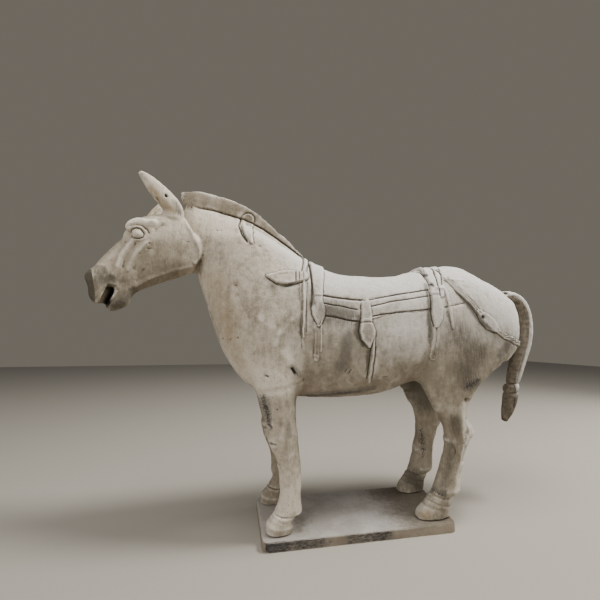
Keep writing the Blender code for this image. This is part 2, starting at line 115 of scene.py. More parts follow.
# %% [markdown]
# ## From solid to skin
#
# A solid in the frame has few facets. Its copy is merged and then covered with an even skin of small quads
# by the Remesh modifier in its voxel mode, as a figure is covered with slip. A subdivision surface would
# follow the uneven facets, so the even skin is better for carving.

# %% A skin for a solid
WELD = 1e-6


def finished_mesh(item):
    """Give the item its evaluated mesh in place of its modifiers."""
    bpy.context.view_layer.update()
    graph = bpy.context.evaluated_depsgraph_get()
    data = bpy.data.meshes.new_from_object(item.evaluated_get(graph))
    item.modifiers.clear()
    item.data = data
    return item


def new_object(name, mesh):
    """An object in the scene that holds what was made in a bmesh."""
    data = bpy.data.meshes.new(name)
    mesh.to_mesh(data)
    mesh.free()
    item = bpy.data.objects.new(name, data)
    bpy.context.scene.collection.objects.link(item)
    return item


def skin_of(node, name, grain, cut=None):
    """A new piece: the node's mesh, merged, cut, and covered with quads of this size in metres."""
    mesh = bmesh.new()
    mesh.from_mesh(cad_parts[node].data)
    bmesh.ops.remove_doubles(mesh, verts=mesh.verts[:], dist=WELD)
    item = new_object(name, mesh)
    if cut:
        modifier = item.modifiers.new("cut", "BOOLEAN")
        modifier.operation = "DIFFERENCE"
        modifier.object = cut
        modifier.use_self = True
    modifier = item.modifiers.new("skin", "REMESH")
    modifier.mode = "VOXEL"
    modifier.voxel_size = grain
    finished_mesh(item)
    print(name, "skin has", len(item.data.vertices), "points")
    return item


print("full detail")

# %% [markdown]
# Carving in code moves the points of the skin along its normals. The points, normals and edges are read
# into arrays, changed all at once, and written back. Softening is what a wet sponge does: each point moves
# towards the middle of its neighbours, many times over.

# %% Points, normals and a wet sponge
def points_of(item):
    """The points as rows of x, y and z, in metres."""
    points = np.zeros(len(item.data.vertices) * 3)
    item.data.vertices.foreach_get("co", points)
    return points.reshape(-1, 3)


def normals_of(item):
    """The unit normals of the points, as rows of x, y and z."""
    normals = np.zeros(len(item.data.vertices) * 3)
    item.data.vertices.foreach_get("normal", normals)
    return normals.reshape(-1, 3)


def edges_of(item):
    """The two ends of each edge, as numbers of points."""
    edges = np.zeros(len(item.data.edges) * 2, int)
    item.data.edges.foreach_get("vertices", edges)
    return edges.reshape(-1, 2)


def put_points(item, points):
    """Write changed points back to the mesh."""
    item.data.vertices.foreach_set("co", points.ravel())
    item.data.update()


def sponge(values, edges, rounds, amount, give_back=0.0):
    """Average values with their neighbours; amount is one number or a column, one for each point."""
    size = len(values)
    count = np.bincount(edges.ravel(), minlength=size)[:, None]
    for _ in range(rounds):
        for step in (amount, -give_back * amount) if give_back else (amount,):
            total = np.zeros_like(values)
            for k in range(values.shape[1]):
                total[:, k] = np.bincount(edges[:, 0], values[edges[:, 1], k], size)
                total[:, k] += np.bincount(edges[:, 1], values[edges[:, 0], k], size)
            values = values + step * (total / count - values)
    return values


def even_normals(item, rounds):
    """The skin's normals, evened out so that carving doesn't roughen it."""
    normals = sponge(normals_of(item), edges_of(item), rounds, 0.5)
    return normals / np.linalg.norm(normals, axis=1)[:, None]


def soft_step(value, start, end):
    """0 before start, 1 after end, and smooth between."""
    share = np.clip((value - start) / (end - start), 0, 1)
    return share * share * (3 - 2 * share)


print("a half-way soft step is", float(soft_step(0.5, 0, 1)))

# %% [markdown]
# Hand-worked clay is never even. Waves in random directions, added up, give soft lumps of a chosen size.
# The directions come from a seeded generator, so each run gives the same lumps.

# %% Lumps of the hand
WAVES = 14


def lumps(points, size, seed):
    """A soft random field from about -1 to 1; size is the width of a lump in metres."""
    random = np.random.default_rng(seed)
    total = np.zeros(len(points))
    for _ in range(WAVES):
        direction = random.normal(size=3)
        direction *= random.uniform(0.7, 1.3) * math.pi / size / np.linalg.norm(direction)
        total += np.sin(points @ direction + random.uniform(0, 2 * math.pi))
    return total / math.sqrt(WAVES) * 0.8


def uneven(points, tall, size, flatten, seed):
    """Lumps of this height in parts, drawn out upwards where flatten is below 1."""
    return tall * lumps(points * [1, 1, flatten], size, seed)


print("each field of lumps adds up", WAVES, "waves")

# %% [markdown]
# Straps, grooves and stains all follow lines through a few stations. This helper tells how far each point
# is from such a line, and how wide the line is at the place nearest to it.

# %% How far from a line
FAR_OFF = 1e9


def off_line(coordinates, route):
    """Distance from a line through stations, and the line's last column at the nearest place."""
    best = np.full(len(coordinates[0]), FAR_OFF)
    width = np.zeros(len(best))
    axes = len(coordinates)
    for a, b in zip(route, route[1:]):
        step = np.subtract(b[:axes], a[:axes])
        offsets = [c - a[k] for k, c in enumerate(coordinates)]
        along = np.clip(sum(o * s for o, s in zip(offsets, step)) / (step @ step), 0, 1)
        away = np.sqrt(sum((o - along * s) ** 2 for o, s in zip(offsets, step)))
        closer = away < best
        best = np.where(closer, away, best)
        if len(a) > axes:
            width = np.where(closer, a[axes] + (b[axes] - a[axes]) * along, width)
    return best, width


print("farther than any line:", FAR_OFF)

# %% [markdown]
# ## The harness on the flanks
#
# Straps, leaf-shaped pendants and cords were rolled out of clay, laid on the flank and pressed down. Each
# is a run of stations: x, z and half its width, in parts, after its height. The solid carries them
# coarsely. The skin is first pared back by those same heights, then softened, and then they are laid on
# again crisply.

# %% The harness runs
HARNESS = {
    "withers band": (0.9, [(-22.4, 145, 0.9), (-24.4, 141, 0.8), (-26.2, 135.6, 0.7), (-28, 131.4, 0.6)]),
    "withers strap": (1.3, [(-18.2, 142, 4.2), (-19.6, 133, 3.9), (-20.4, 128, 3.3), (-21.2, 122, 2.8),
        (-22, 116.4, 2.8)]),
    "withers leaf": (1.6, [(-22, 115.4, 2.5), (-22.2, 110, 3.4), (-22, 106, 3.1), (-22.5, 101.5, 1)]),
    "withers ribbon": (0.35, [(-23, 102, 1.7), (-23.5, 94, 2), (-23.6, 84, 1.2)]),
    "withers cord": (0.8, [(-28.2, 128, 0.6), (-29.2, 115, 0.55), (-29.8, 106, 0.5), (-30.2, 95, 0.35)]),
    "saddle cloth": (0.4, [(-19, 111.8, 5.4), (-6, 109.6, 5.5), (1, 109.1, 5.4), (17.5, 112.6, 4.8),
        (41, 115.8, 5.6)]),
    "middle block": (1.3, [(3.6, 113.2, 2.4), (3.2, 103.4, 2.9)]),
    "middle leaf": (1.6, [(2.9, 102, 3.2), (3.1, 98.5, 4.2), (3.1, 94.5, 3.5), (3.8, 90.6, 0.8)]),
    "middle cord": (0.9, [(7, 98.6, 0.6), (6.3, 90, 0.6), (5.4, 80, 0.6), (5.1, 72.4, 0.8)]),
    "croup strap": (1.6, [(51, 141, 3.1), (48.6, 137, 3), (46.6, 132, 2.6), (45, 123.4, 2.1),
        (44.3, 118, 2.6)]),
    "croup lining": (0.7, [(56.4, 141, 2.3), (54, 137.5, 2.3), (51.2, 132.5, 2), (49.6, 125, 1.7),
        (48.8, 118.5, 1.3)]),
    "croup leaf": (1.6, [(44.2, 117.2, 2.5), (44.2, 110.5, 3.5), (43.6, 105.6, 2.9), (42.8, 101.4, 0.9)]),
    "croup ribbon": (0.45, [(43.5, 102, 1.7), (43.1, 94, 2), (42.2, 85, 2.4)]),
    "hanging strip": (0.7, [(53.4, 133, 0.9), (51.4, 126.4, 0.9), (51.9, 119.8, 0.9), (52.7, 111, 0.8),
        (53.9, 100.4, 0.7)]),
    "crupper cord": (0.8, [(54.8, 129, 1.1), (59.9, 121.3, 1.2), (67, 114.2, 1.2), (70.8, 109, 1.4)]),
    "crupper leaf": (1.7, [(70.8, 109.5, 1.4), (73.8, 106, 3.3), (77.3, 102.6, 3.7), (80.3, 100.2, 2.4),
        (82.3, 98.8, 1)]),
    "crupper rope": (1, [(82.3, 98.8, 1.2), (87.5, 95.6, 1.3), (97.9, 92.6, 1.5), (112, 90.6, 1.5)]),
}
LEFT_ONLY = {
    "leaf knot": (1.6, [(-28.3, 128, 2.6), (-33, 127.5, 3.5), (-38.2, 126.9, 4), (-43, 126.7, 3),
        (-48.5, 127.4, 0.6)]),
    "mane lock": (1.2, [(-58.4, 163, 3.5), (-58.8, 158, 3.1), (-58.2, 152, 2.3), (-56, 146.4, 0.6)]),
}
print(len(HARNESS) + len(LEFT_ONLY), "harness runs")

# %% [markdown]
# A run's height falls off over a bevel at its edges. No strap runs below the belly's widest part or round
# the back of the rump, and the leaf knot and the mane's lock lie on the left side alone.

# %% The height of the harness
STRAPS_END = 62
BELLY_TOP = 100
RUMP_BACK = 95.4
UNDERNEATH = 0.12
LEFT_SIDE = -0.2


def laid_on(x, z, runs, bevel, groove=0.0):
    """Height of the harness runs in parts; groove presses a line beside each edge."""
    height = np.zeros(len(x))
    beside = np.zeros(len(x))
    for tall, route in runs.values():
        away, width = off_line((x, z), route)
        height = np.maximum(height, tall * soft_step(width - away, -bevel / 2, bevel / 2))
        beside = np.maximum(beside, np.exp(-((away - width - 0.6 * bevel) / 0.5) ** 2))
    return height - groove * beside * (height < 0.3)


def harness_height(x, z, sideways, bevel, groove=0.0):
    """The harness on both flanks, with what only the left flank carries."""
    belly = (z < BELLY_TOP) & (x < RUMP_BACK) & (np.abs(sideways) < UNDERNEATH)
    both = np.where((z > STRAPS_END) & ~belly, laid_on(x, z, HARNESS, bevel, groove), 0)
    left = np.where(sideways < LEFT_SIDE, laid_on(x, z, LEFT_ONLY, bevel, groove), 0)
    return np.where(left > 0.05, np.maximum(both, left), both + np.minimum(left, 0))


def inside_harness(x, z, left_out=()):
    """How far in from the nearest strap's edge a point lies; below nought it is outside."""
    depth = np.full(len(x), -FAR_OFF)
    for name, (_, route) in {**HARNESS, **LEFT_ONLY}.items():
        if not any(word in name for word in left_out):
            away, width = off_line((x, z), route)
            depth = np.maximum(depth, width - away)
    return depth


print("straps end", STRAPS_END, "parts above the slab")

# %% [markdown]
# ## The open mouth
#
# The mouth was cut into the damp clay: a slanting cut on either side of the tongue, and a gap between the
# lips. One cutter holds the three boxes, and a Boolean modifier takes it out of the solid's copy before the
# skin goes on. The boxes overlap, so the modifier is told to look for that.

# %% The mouth's cutter
MOUTH_TIP, MOUTH_FOOT = (35.8, 0, 119.6), (40, 0, 106)
MOUTH_TIP_HALF, MOUTH_FOOT_HALF = 1.7, 2.3
LIP_GAP_HIGH, LIP_GAP_LOW = (39.9, 0, 112), (39.9, 0, 106)
LIP_GAP_HALF = 2.7
MOUTH_DEPTH = 8
TONGUE_HALF = 1.2


def on_head(s, t, z):
    """A place given along the head, in metres."""
    turn = math.pi + HEAD_TURN
    x = POLL[0] + math.cos(turn) * s - math.sin(turn) * t
    y = POLL[1] + math.sin(turn) * s + math.cos(turn) * t
    return Vector((x * PART, (y + FIGURE_Y) * PART, z * PART + HOOF_FLOOR))


def standing(high, low):
    """The matrix that stands an upright box between two places, square across the head."""
    across = (on_head(0, 1, 0) - on_head(0, 0, 0)).normalized()
    rise = (high - low).normalized()
    turn = Matrix((across.cross(rise), across, rise)).transposed().to_4x4()
    return Matrix.Translation((high + low) / 2) @ turn


mesh = bmesh.new()
tip, foot = on_head(*MOUTH_TIP), on_head(*MOUTH_FOOT)
for side in (-1, 1):
    corners = bmesh.ops.create_cube(mesh, size=1)["verts"]
    upper = [v for v in corners if v.co.z > 0]
    size = (2 * MOUTH_FOOT_HALF * PART, MOUTH_DEPTH * PART, (tip - foot).length)
    bmesh.ops.scale(mesh, verts=corners, vec=size)
    bmesh.ops.scale(mesh, verts=upper, vec=(MOUTH_TIP_HALF / MOUTH_FOOT_HALF, 1, 1))
    bmesh.ops.translate(mesh, verts=corners, vec=(0, side * (TONGUE_HALF + MOUTH_DEPTH / 2) * PART, 0))
    bmesh.ops.transform(mesh, verts=corners, matrix=standing(tip, foot))
high, low = on_head(*LIP_GAP_HIGH), on_head(*LIP_GAP_LOW)
gap = bmesh.ops.create_cube(mesh, size=1)["verts"]
bmesh.ops.scale(mesh, verts=gap, vec=(2 * LIP_GAP_HALF * PART, 2 * MOUTH_DEPTH * PART, (high - low).length))
bmesh.ops.transform(mesh, verts=gap, matrix=standing(high, low))
bmesh.ops.recalc_face_normals(mesh, faces=mesh.faces[:])
mouth_cutter = new_object("mouth_cutter", mesh)
print("the mouth is cut", round((tip - foot).length * 1000, 1), "mm long")

# %% [markdown]
# ## The horse's skin
#
# The skin is pared and then sponged: much on the barrel, less on the legs and the head, and hardly at all
# on the thin ears and the mane, which would shrink.

# %% Pare and soften the horse
HORSE_GRAIN = 0.0015
SOLID_BEVEL = 1.0
SPONGE_ROUNDS = 50

horse = skin_of("horse", "clay_horse", HORSE_GRAIN, mouth_cutter)
bpy.data.objects.remove(mouth_cutter)
x, y, z = in_parts(points_of(horse))
normals = even_normals(horse, 6)
pared = points_of(horse) - normals * (harness_height(x, z, normals[:, 1], SOLID_BEVEL) * PART)[:, None]

on_body = soft_step(z, 52, 84) * soft_step(x, -82, -66)
crest = soft_step(z, 140, 144) * soft_step(-x, 18, 26) * soft_step(5 - np.abs(y), 0, 1)
ears = soft_step(z, 160, 163) * soft_step(-x, 92, 97)
sponging = (0.10 + 0.40 * on_body) * (1 - 0.88 * np.maximum(crest, ears))
put_points(horse, sponge(pared, edges_of(horse), SPONGE_ROUNDS, sponging[:, None]))
print("softened by", round(float(sponging.min()), 3), "to", round(float(sponging.max()), 3), "each round")

# %% [markdown]
# The solid keeps the large form. Where the real figure's outline differs by a few millimetres, the skin is
# pushed or pulled like damp clay. Each row of a table is a place and its shift, in parts, and the shifts
# blend between.

# %% Shifts of the form
MUZZLE_SHIFTS = [
    (29.6, 149.6, 0, 0), (28.4, 145.6, 0, 0), (32.4, 145.2, -1.2, -0.5), (35.5, 140.5, -0.4, -0.1),
    (38.1, 137.4, 0.1, 0), (41, 133, 0.4, 0.1), (42.6, 130.5, 0.1, 0), (44, 128.5, -0.2, 0),
    (45.8, 126, 0.8, 0.4), (46.8, 123.6, 1, 0.2), (46.5, 121, -1.2, 0), (45.8, 118.3, -0.9, -0.4),
    (44.5, 116, 0.4, -1.1), (43, 113.7, 0.7, -1.4), (41.2, 112.5, 0.5, -1.3), (39.9, 111.5, 0.2, -0.8),
    (39, 112.6, 0, -0.3), (37.6, 109.8, -0.4, -0.3), (36.4, 109, -0.1, -0.3), (35.8, 112, 0, 0),
    (35.2, 116, -0.2, 0.4), (34.3, 108.2, 0, 0), (30.9, 109.4, 0, 0), (27.8, 112.4, -0.3, -0.7),
    (24.7, 116.3, 0.9, 0.5), (21.7, 119.5, 0.3, 0.4), (18.4, 121.5, 0, 0), (28, 124, 0, 0), (34, 124, 0, 0),
    (32, 116, 0, 0), (38, 124, 0, 0)]
FAR_EAR_SHIFTS = [
    (22.4, 161, 0, 0), (21.4, 164.6, -0.9, -0.4), (20.7, 167.5, -1.8, -0.9), (17.8, 171, -2.2, -1.7),
    (15, 172.4, -1.7, -1.9), (14, 166, 0, 0)]
FAR_BROW_SHIFTS = [
    (33, 144.5, -1.8, -0.8), (30.6, 148, -2.2, -1.2), (28, 151.5, -1.6, -1.8), (24.6, 153, -0.6, -1.2),
    (22, 148, 0, 0), (34, 139, -0.4, 0)]
RUMP_SHIFTS = [
    (36.1, 134, 0, 0.8), (46, 137.3, 0, 0.3), (55.8, 139.5, 0, 0.6), (65.8, 139.7, 0.1, 1.2),
    (73.8, 139.2, 0.3, 1.3), (81.7, 137.3, 0.4, 0.9), (90.1, 134.4, 0.2, 0.3), (98, 130, -0.2, -0.6),
    (102, 124, 0.6, 0.2), (105, 117, 1.8, 0.8), (108, 108.9, 1.6, 0.3), (108, 100.8, 1.4, -0.2),
    (106, 94.1, 1.9, -0.9), (101.4, 87.7, 2.4, -1.7), (96.2, 82.1, 2.2, -1.6), (90, 76, 1.6, -1.2),
    (84, 70, 0.4, -0.4), (60, 110, 0, 0), (60, 90, 0, 0), (80, 110, 0, 0), (80, 90, 0, 0), (80, 122, 0, 0)]
MANE_SHIFTS = [
    (-96, 177, -0.7, 0.5), (-94, 172, -1, 0.4), (-88.8, 177.8, 0, 0.8), (-79.2, 177.3, 0, 0.1),
    (-69.4, 174.3, 0, 0.7), (-59.3, 170.9, 0, 0.4), (-53.4, 167.1, 0.3, 0.6), (-45.2, 160.8, 0.3, 0.5),
    (-34.8, 151.8, 0.3, 0.6), (-25, 143, 0.3, 0.5)]
NECK_FRONT_SHIFTS = [
    (-91.5, 170, -2.6, 0.6), (-90, 166, -3.6, 0.4), (-88, 161, -3.4, 0.3), (-86, 156, -2.2, 0),
    (-84, 151, -0.6, 0), (-78, 167, -0.8, 0.8), (-76, 158, -0.4, 0), (-68, 162, 0, 0.6), (-82, 145, 0, 0),
    (-72, 150, 0, 0)]
LEFT_FORE_SHIFTS = [
    (-41.8, 24, 0, 0), (-42.2, 16, 0.8, 0), (-43.4, 12, 2, 0), (-45, 9, 1.4, 0), (-47.4, 4, 0, 0),
    (-31.4, 30, 1.2, 0), (-31, 22, 1.2, 0), (-30.6, 15.6, 0.2, -0.6), (-30.5, 12, 0.1, -2.6),
    (-31.2, 9.4, 1, -1.6), (-33.6, 7.6, 0.2, -0.8), (-34.3, 3, 0.3, 0), (-46, 44, -0.5, 0), (-48, 50, 0, 0),
    (-32, 44, 0.5, 0), (-31.6, 37, 1, 0)]
RIGHT_FORE_SHIFTS = [
    (-46, 42, -1.3, 0), (-43.8, 37, -2.4, 0), (-42.9, 34, -1.9, 0), (-41.8, 28, -0.8, 0),
    (-41.6, 20, -0.4, 0), (-44, 12, 2.4, 0), (-45.6, 8.6, 1, 0), (-47.4, 4, 0, 0), (-31.4, 28, 0, 0),
    (-30.5, 12, 0.9, -2.6), (-32, 40, 0, 0), (-48, 52, 0, 0)]
LEFT_HIND_SHIFTS = [
    (44.7, 57.4, 0, 0), (49.4, 50, 1.1, 0), (49.2, 44, 2.1, 0), (47.8, 34, 2.7, 0), (45.4, 25, 2.3, 0),
    (42.8, 18, 2.2, 0), (40.4, 13, 2.6, 0), (38, 9.6, 1.3, 0), (33, 2.1, 0, 0), (67.6, 59, -0.6, 0),
    (66.6, 53.2, -1.4, 0), (68.2, 49, -2.2, 0), (68.8, 43, -1.2, 0), (65.8, 37.3, -1.5, 0),
    (63, 30.7, -2, 0), (60.6, 20.1, -1.8, 0), (58.6, 12.6, -2.2, 0.8), (55, 8.6, -0.8, 0.4),
    (51, 3, 0.6, 0)]
RIGHT_HIND_SHIFTS = [
    (44.6, 66, -4, 0), (49.6, 57, -3.2, 0), (52.4, 48.5, -1.7, 0), (52.6, 40, -0.9, 0), (51, 31, 0, 0),
    (47.4, 20, 0.9, 0), (44.6, 14, 1.6, 0), (42, 10, 1.7, 0), (37, 3, 1.5, 0), (71, 56, -1.8, 0),
    (72.3, 49, -3, 0), (72.5, 44, -3.5, 0), (69.8, 37, -3.6, 0), (66.2, 28, -2.9, 0), (64.2, 19, -2.6, 0),
    (63, 13.6, -2.4, 0.8), (58.4, 9, -0.4, 0.4), (54.6, 3, 0.2, 0)]
print(len(MUZZLE_SHIFTS) + len(RUMP_SHIFTS) + len(MANE_SHIFTS), "shifts on the muzzle, rump and mane")

# %% [markdown]
# Each table works within its own part of the figure, and its hold fades out at that part's edges. The
# head's tables shift along the head's own directions, the others along x.

# %% Push and pull the form
SHIFT_REACH = 4.0
MUZZLE_REACH, FAR_BROW_REACH, FAR_EAR_REACH = 2.8, 3.0, 3.2
MANE_ROOT = [(-98, 167.6), (-93.8, 167.8), (-88.2, 168.7), (-78.7, 167.4), (-69, 164.9), (-56.1, 160.9),
             (-49.1, 157.5), (-40.9, 152.2), (-32.7, 146.4), (-25.4, 141.5)]


def mane_root(x):
    """Height of the crease between the neck and the mane."""
    return np.interp(x, *zip(*MANE_ROOT))


def shift_blend(u, v, table, reach=SHIFT_REACH):
    """The tables' shifts of u and v, blended with distance and fading out beyond the rows."""
    total, shift_u, shift_v = np.zeros(len(u)), np.zeros(len(u)), np.zeros(len(u))
    for row_u, row_v, du, dv in table:
        weight = np.exp(-((u - row_u) ** 2 + (v - row_v) ** 2) / reach ** 2)
        total += weight
        shift_u += weight * du
        shift_v += weight * dv
    return shift_u / np.maximum(total, 0.5), shift_v / np.maximum(total, 0.5)


def shifted(points):
    """Push and pull points by all the tables, each within its own part of the figure."""
    x, y, z = in_parts(points)
    s, t = along_head(x, y)
    moved = points.copy()
    forward = np.array([math.cos(math.pi + HEAD_TURN), math.sin(math.pi + HEAD_TURN), 0.0])
    upward = np.array([0, 0, 1.0])
    muzzle = soft_step(s, 12, 18) * (z > 100)
    far_brow = soft_step(-t, 1.5, 4) * (z > 132) * soft_step(158 - z, 0, 3)
    far_ear = soft_step(-t, 2, 4) * soft_step(z, 157, 161)
    for table, reach, here in ((MUZZLE_SHIFTS, MUZZLE_REACH, muzzle),
                               (FAR_BROW_SHIFTS, FAR_BROW_REACH, far_brow),
                               (FAR_EAR_SHIFTS, FAR_EAR_REACH, far_ear)):
        along, rise = shift_blend(s, z, table, reach)
        moved += PART * here[:, None] * (along[:, None] * forward + rise[:, None] * upward)
    neck_front = soft_step(-s, -0.5, 2.5) * soft_step(-x, 62, 70) * soft_step(z, 142, 150)
    mane_part = soft_step(z - mane_root(x), 0.5, 3.0) * (s < 2) * soft_step(3.5 - np.abs(y), 0, 1)
    for table, here in ((RUMP_SHIFTS, soft_step(x, 30, 40) * soft_step(z, 64, 72)),
                        (NECK_FRONT_SHIFTS, neck_front * (1 - mane_part)), (MANE_SHIFTS, mane_part),
                        (LEFT_FORE_SHIFTS, (y < 0) * (x < -20) * soft_step(58 - z, 0, 6)),
                        (RIGHT_FORE_SHIFTS, (y > 0) * (x < -20) * soft_step(58 - z, 0, 6)),
                        (LEFT_HIND_SHIFTS, (y < 0) * (x > 20) * soft_step(64 - z, 0, 6)),
                        (RIGHT_HIND_SHIFTS, (y > 0) * (x > 20) * soft_step(72 - z, 0, 6))):
        along, rise = shift_blend(x, z, table)
        moved[:, 0] += PART * here * along
        moved[:, 2] += PART * here * rise
    return moved


before = points_of(horse)
put_points(horse, shifted(before))
farthest = np.linalg.norm(points_of(horse) - before, axis=1).max()
print("the form moved by up to", round(float(farthest) * 1000, 1), "mm")

# %% [markdown]
# The nose ends in a narrow flat front. Past its edge the points are drawn in towards the head's middle.

# %% The narrow front of the nose
NOSE_EDGE = 43.3
NOSE_EDGE_HALF = 5.3
NOSE_TAPER = 1.1
NOSE_LEAST_HALF = 1.2
CHIN_TOP = 104

x, y, z = in_parts(points_of(horse))
s, t = along_head(x, y)
most = np.maximum(NOSE_EDGE_HALF - NOSE_TAPER * (s - NOSE_EDGE), NOSE_LEAST_HALF)
nose_front = (s > NOSE_EDGE) & (z > CHIN_TOP)
slimmer = np.where(nose_front, np.minimum(np.abs(t), most) - np.abs(t), 0) * np.sign(t)
cheekward = np.array([-math.sin(math.pi + HEAD_TURN), math.cos(math.pi + HEAD_TURN), 0.0])
put_points(horse, points_of(horse) + PART * slimmer[:, None] * cheekward)
print("the nose is slimmer at", int(np.count_nonzero(slimmer)), "points")

# %% [markdown]
# The head and the straps need finer points than the barrel. Their edges are split in two, which turns each
# quad into four, and the new points get a short sponging.

# %% Finer points where the carving is fine
STRAP_MARGIN = 1.6


def split_where(item, chosen):
    """Split the edges between chosen points in two."""
    mesh = bmesh.new()
    mesh.from_mesh(item.data)
    edges = [e for e in mesh.edges if chosen[e.verts[0].index] and chosen[e.verts[1].index]]
    bmesh.ops.subdivide_edges(mesh, edges=edges, cuts=1, use_grid_fill=True)
    mesh.to_mesh(item.data)
    mesh.free()
    print(item.name, "now has", len(item.data.vertices), "points")


x, y, z = in_parts(points_of(horse))
s, t = along_head(x, y)
near_strap = (inside_harness(x, z) > -STRAP_MARGIN) & (z > 70) & (x > -66)
head_and_hooves = ((s > -6) & (z > 104)) | (z < 20)
split_where(horse, head_and_hooves | near_strap)
put_points(horse, sponge(points_of(horse), edges_of(horse), 3, 0.5, 0.45))

# %% [markdown]
# ## Carving
#
# A mark is a line of stations with a height and a half width: above nought it is a ridge that a finger
# left, below nought a groove of the wooden tool. One table holds the marks of the head, in the head's own
# directions, and one those of the flank. A mark of the head is carved on both cheeks.

# %% Marks of the head
HEAD_MARKS = {
    "eye ball": (1, 1.9, [(26, 9.2, 146.4), (26.6, 9, 146.6)]),
    "eye outline": (-0.9, 0.38, [(29, 7.3, 146.4), (28.6, 8.5, 148.2), (26.6, 9.7, 149.2),
        (24.6, 9.5, 148.8), (22.9, 9.2, 147), (23.2, 9, 145.2), (25, 8.8, 144.1), (27.6, 8, 144.3),
        (28.9, 7.3, 145.6)]),
    "upper lid": (0.3, 0.4, [(29.2, 7.4, 147.6), (28.6, 9, 149.2), (26.5, 9.8, 149.9), (24.2, 9.5, 149.6),
        (22.3, 9.2, 148)]),
    "brow crease": (-0.8, 0.45, [(29.5, 6.6, 147.8), (29, 8.6, 149.9), (26.7, 9.9, 150.8), (24, 9.9, 150.6),
        (21.6, 9.2, 149.4), (20.7, 9.4, 147.8)]),
    "brow": (1.7, 1.7, [(29.9, 7.6, 149.6), (29.2, 8, 151.9), (27, 8.4, 153.1), (24, 8.8, 153.4),
        (19, 9, 153.4)]),
    "brow back": (0.5, 2.2, [(19, 9.4, 153), (14, 10, 155)]),
    "lower fold": (0.3, 0.7, [(28.1, 7.4, 144), (26.4, 8, 143.5), (24.5, 8.7, 143.7), (22.6, 9.2, 145)]),
    "under fold": (-0.15, 0.8, [(27.4, 7.8, 142.4), (24.6, 8.7, 142.2), (21.6, 9.3, 143.8)]),
    "front ridge": (0.88, 1.3, [(27.7, 7.6, 142.9), (29.2, 7, 140.9), (30.8, 6.5, 138.2),
        (32.4, 6.2, 135.1), (33.3, 6.2, 132.4), (34, 6.2, 129.8)]),
    "middle valley": (-0.5, 1, [(26.6, 7.9, 141.1), (27.9, 7.5, 138.9), (29.6, 7.1, 135.6),
        (30.8, 6.7, 132.4), (31.2, 6.6, 129.6)]),
    "front ridge, low": (0.4, 1.3, [(34.7, 6.2, 127.6), (35.5, 6.2, 125.2)]),
    "back ridge, low": (0.4, 1.3, [(29.9, 6.6, 126.3), (31, 6.5, 123.4)]),
    "thin ridge": (0.25, 0.6, [(27.4, 7.6, 136.8), (27.9, 7.3, 134.1), (28.3, 7.1, 131.8)]),
    "back ridge": (0.88, 1.3, [(21.8, 9.2, 142.5), (23.5, 8.7, 140), (25.8, 8, 137.2), (27.2, 7.4, 134.1),
        (28.5, 7, 131), (29.1, 6.7, 128.5)]),
    "back valley": (-0.5, 1.7, [(19.6, 9.6, 141.4), (21.8, 8.9, 137.6), (24.4, 7.8, 133.4),
        (26, 7.2, 129.2)]),
    "front valley": (-0.5, 1.4, [(31.6, 5.4, 142.6), (34.4, 5.2, 138), (36.6, 5.4, 133)]),
    "nostril wing": (0.35, 0.9, [(41.9, 2.9, 130.2), (39.9, 4.6, 129.8), (38, 5.6, 128.4),
        (37.4, 6, 125.6)]),
    "nostril": (-0.45, 1.5, [(40.6, 4.8, 127.6), (39.2, 5.8, 126)]),
    "muzzle hollow": (-0.35, 1.8, [(40.6, 5.8, 123), (38.6, 6.2, 121.4)]),
    "lip fold": (0.25, 1.2, [(35.6, 6.4, 125.4), (34, 6.6, 122.6), (33.4, 6, 119.6)]),
    "upper lip": (0.35, 0.8, [(35, 6.3, 120.6), (37.2, 6.4, 120.8), (40.2, 5.9, 118), (42.4, 4.4, 114)]),
    "lower lip": (0.8, 0.5, [(34, 5.8, 118.6), (33.9, 4.8, 116.4), (34.6, 3.8, 114.2), (36, 2.6, 112)]),
    "chin groove": (-0.4, 0.9, [(31.4, 5, 116.6), (32.4, 3.6, 112.6)]),
    "jaw rim": (0.95, 1.2, [(3, 8.2, 157.8), (1.6, 10.2, 153.8), (-1.3, 10.8, 149.7), (-3.6, 10.7, 145.5),
        (-5, 10, 141.3), (-4.9, 9.2, 137.9), (-3.4, 8.7, 135.4)]),
    "jaw hollow": (-0.35, 2.6, [(5.4, 10.6, 150), (2.4, 10.6, 144.6), (1.6, 9.8, 139)]),
    "jaw edge": (0.5, 1.1, [(-1.3, 7.4, 133.4), (9, 6.9, 129.2), (19.1, 5.6, 124.6), (24.7, 4.8, 120.4)]),
    "cheek stroke": (-0.4, 0.6, [(22, 7.2, 128.8), (24.1, 6.3, 124.9), (24.8, 5.9, 123.3)]),
    "throat groove": (-0.15, 1.1, [(3.4, 8.8, 161), (0.6, 9.6, 156.6), (-3.8, 10, 150.8),
        (-6.6, 9.6, 145.6), (-8, 8.6, 139.6), (-6, 7.4, 133.6), (-3.6, 6.4, 130.6)]),
    "temple": (-0.8, 1.5, [(17.4, 9.8, 150.4), (14.6, 10.2, 152.8)]),
    "ear root": (0.5, 1.6, [(13.4, 9.6, 158.8), (6.4, 9.6, 158.4)]),
    "ear rim": (0.35, 0.6, [(27, 8.4, 179), (22.6, 9.4, 171.8), (19.6, 9.4, 168), (17.4, 9.2, 164)]),
}
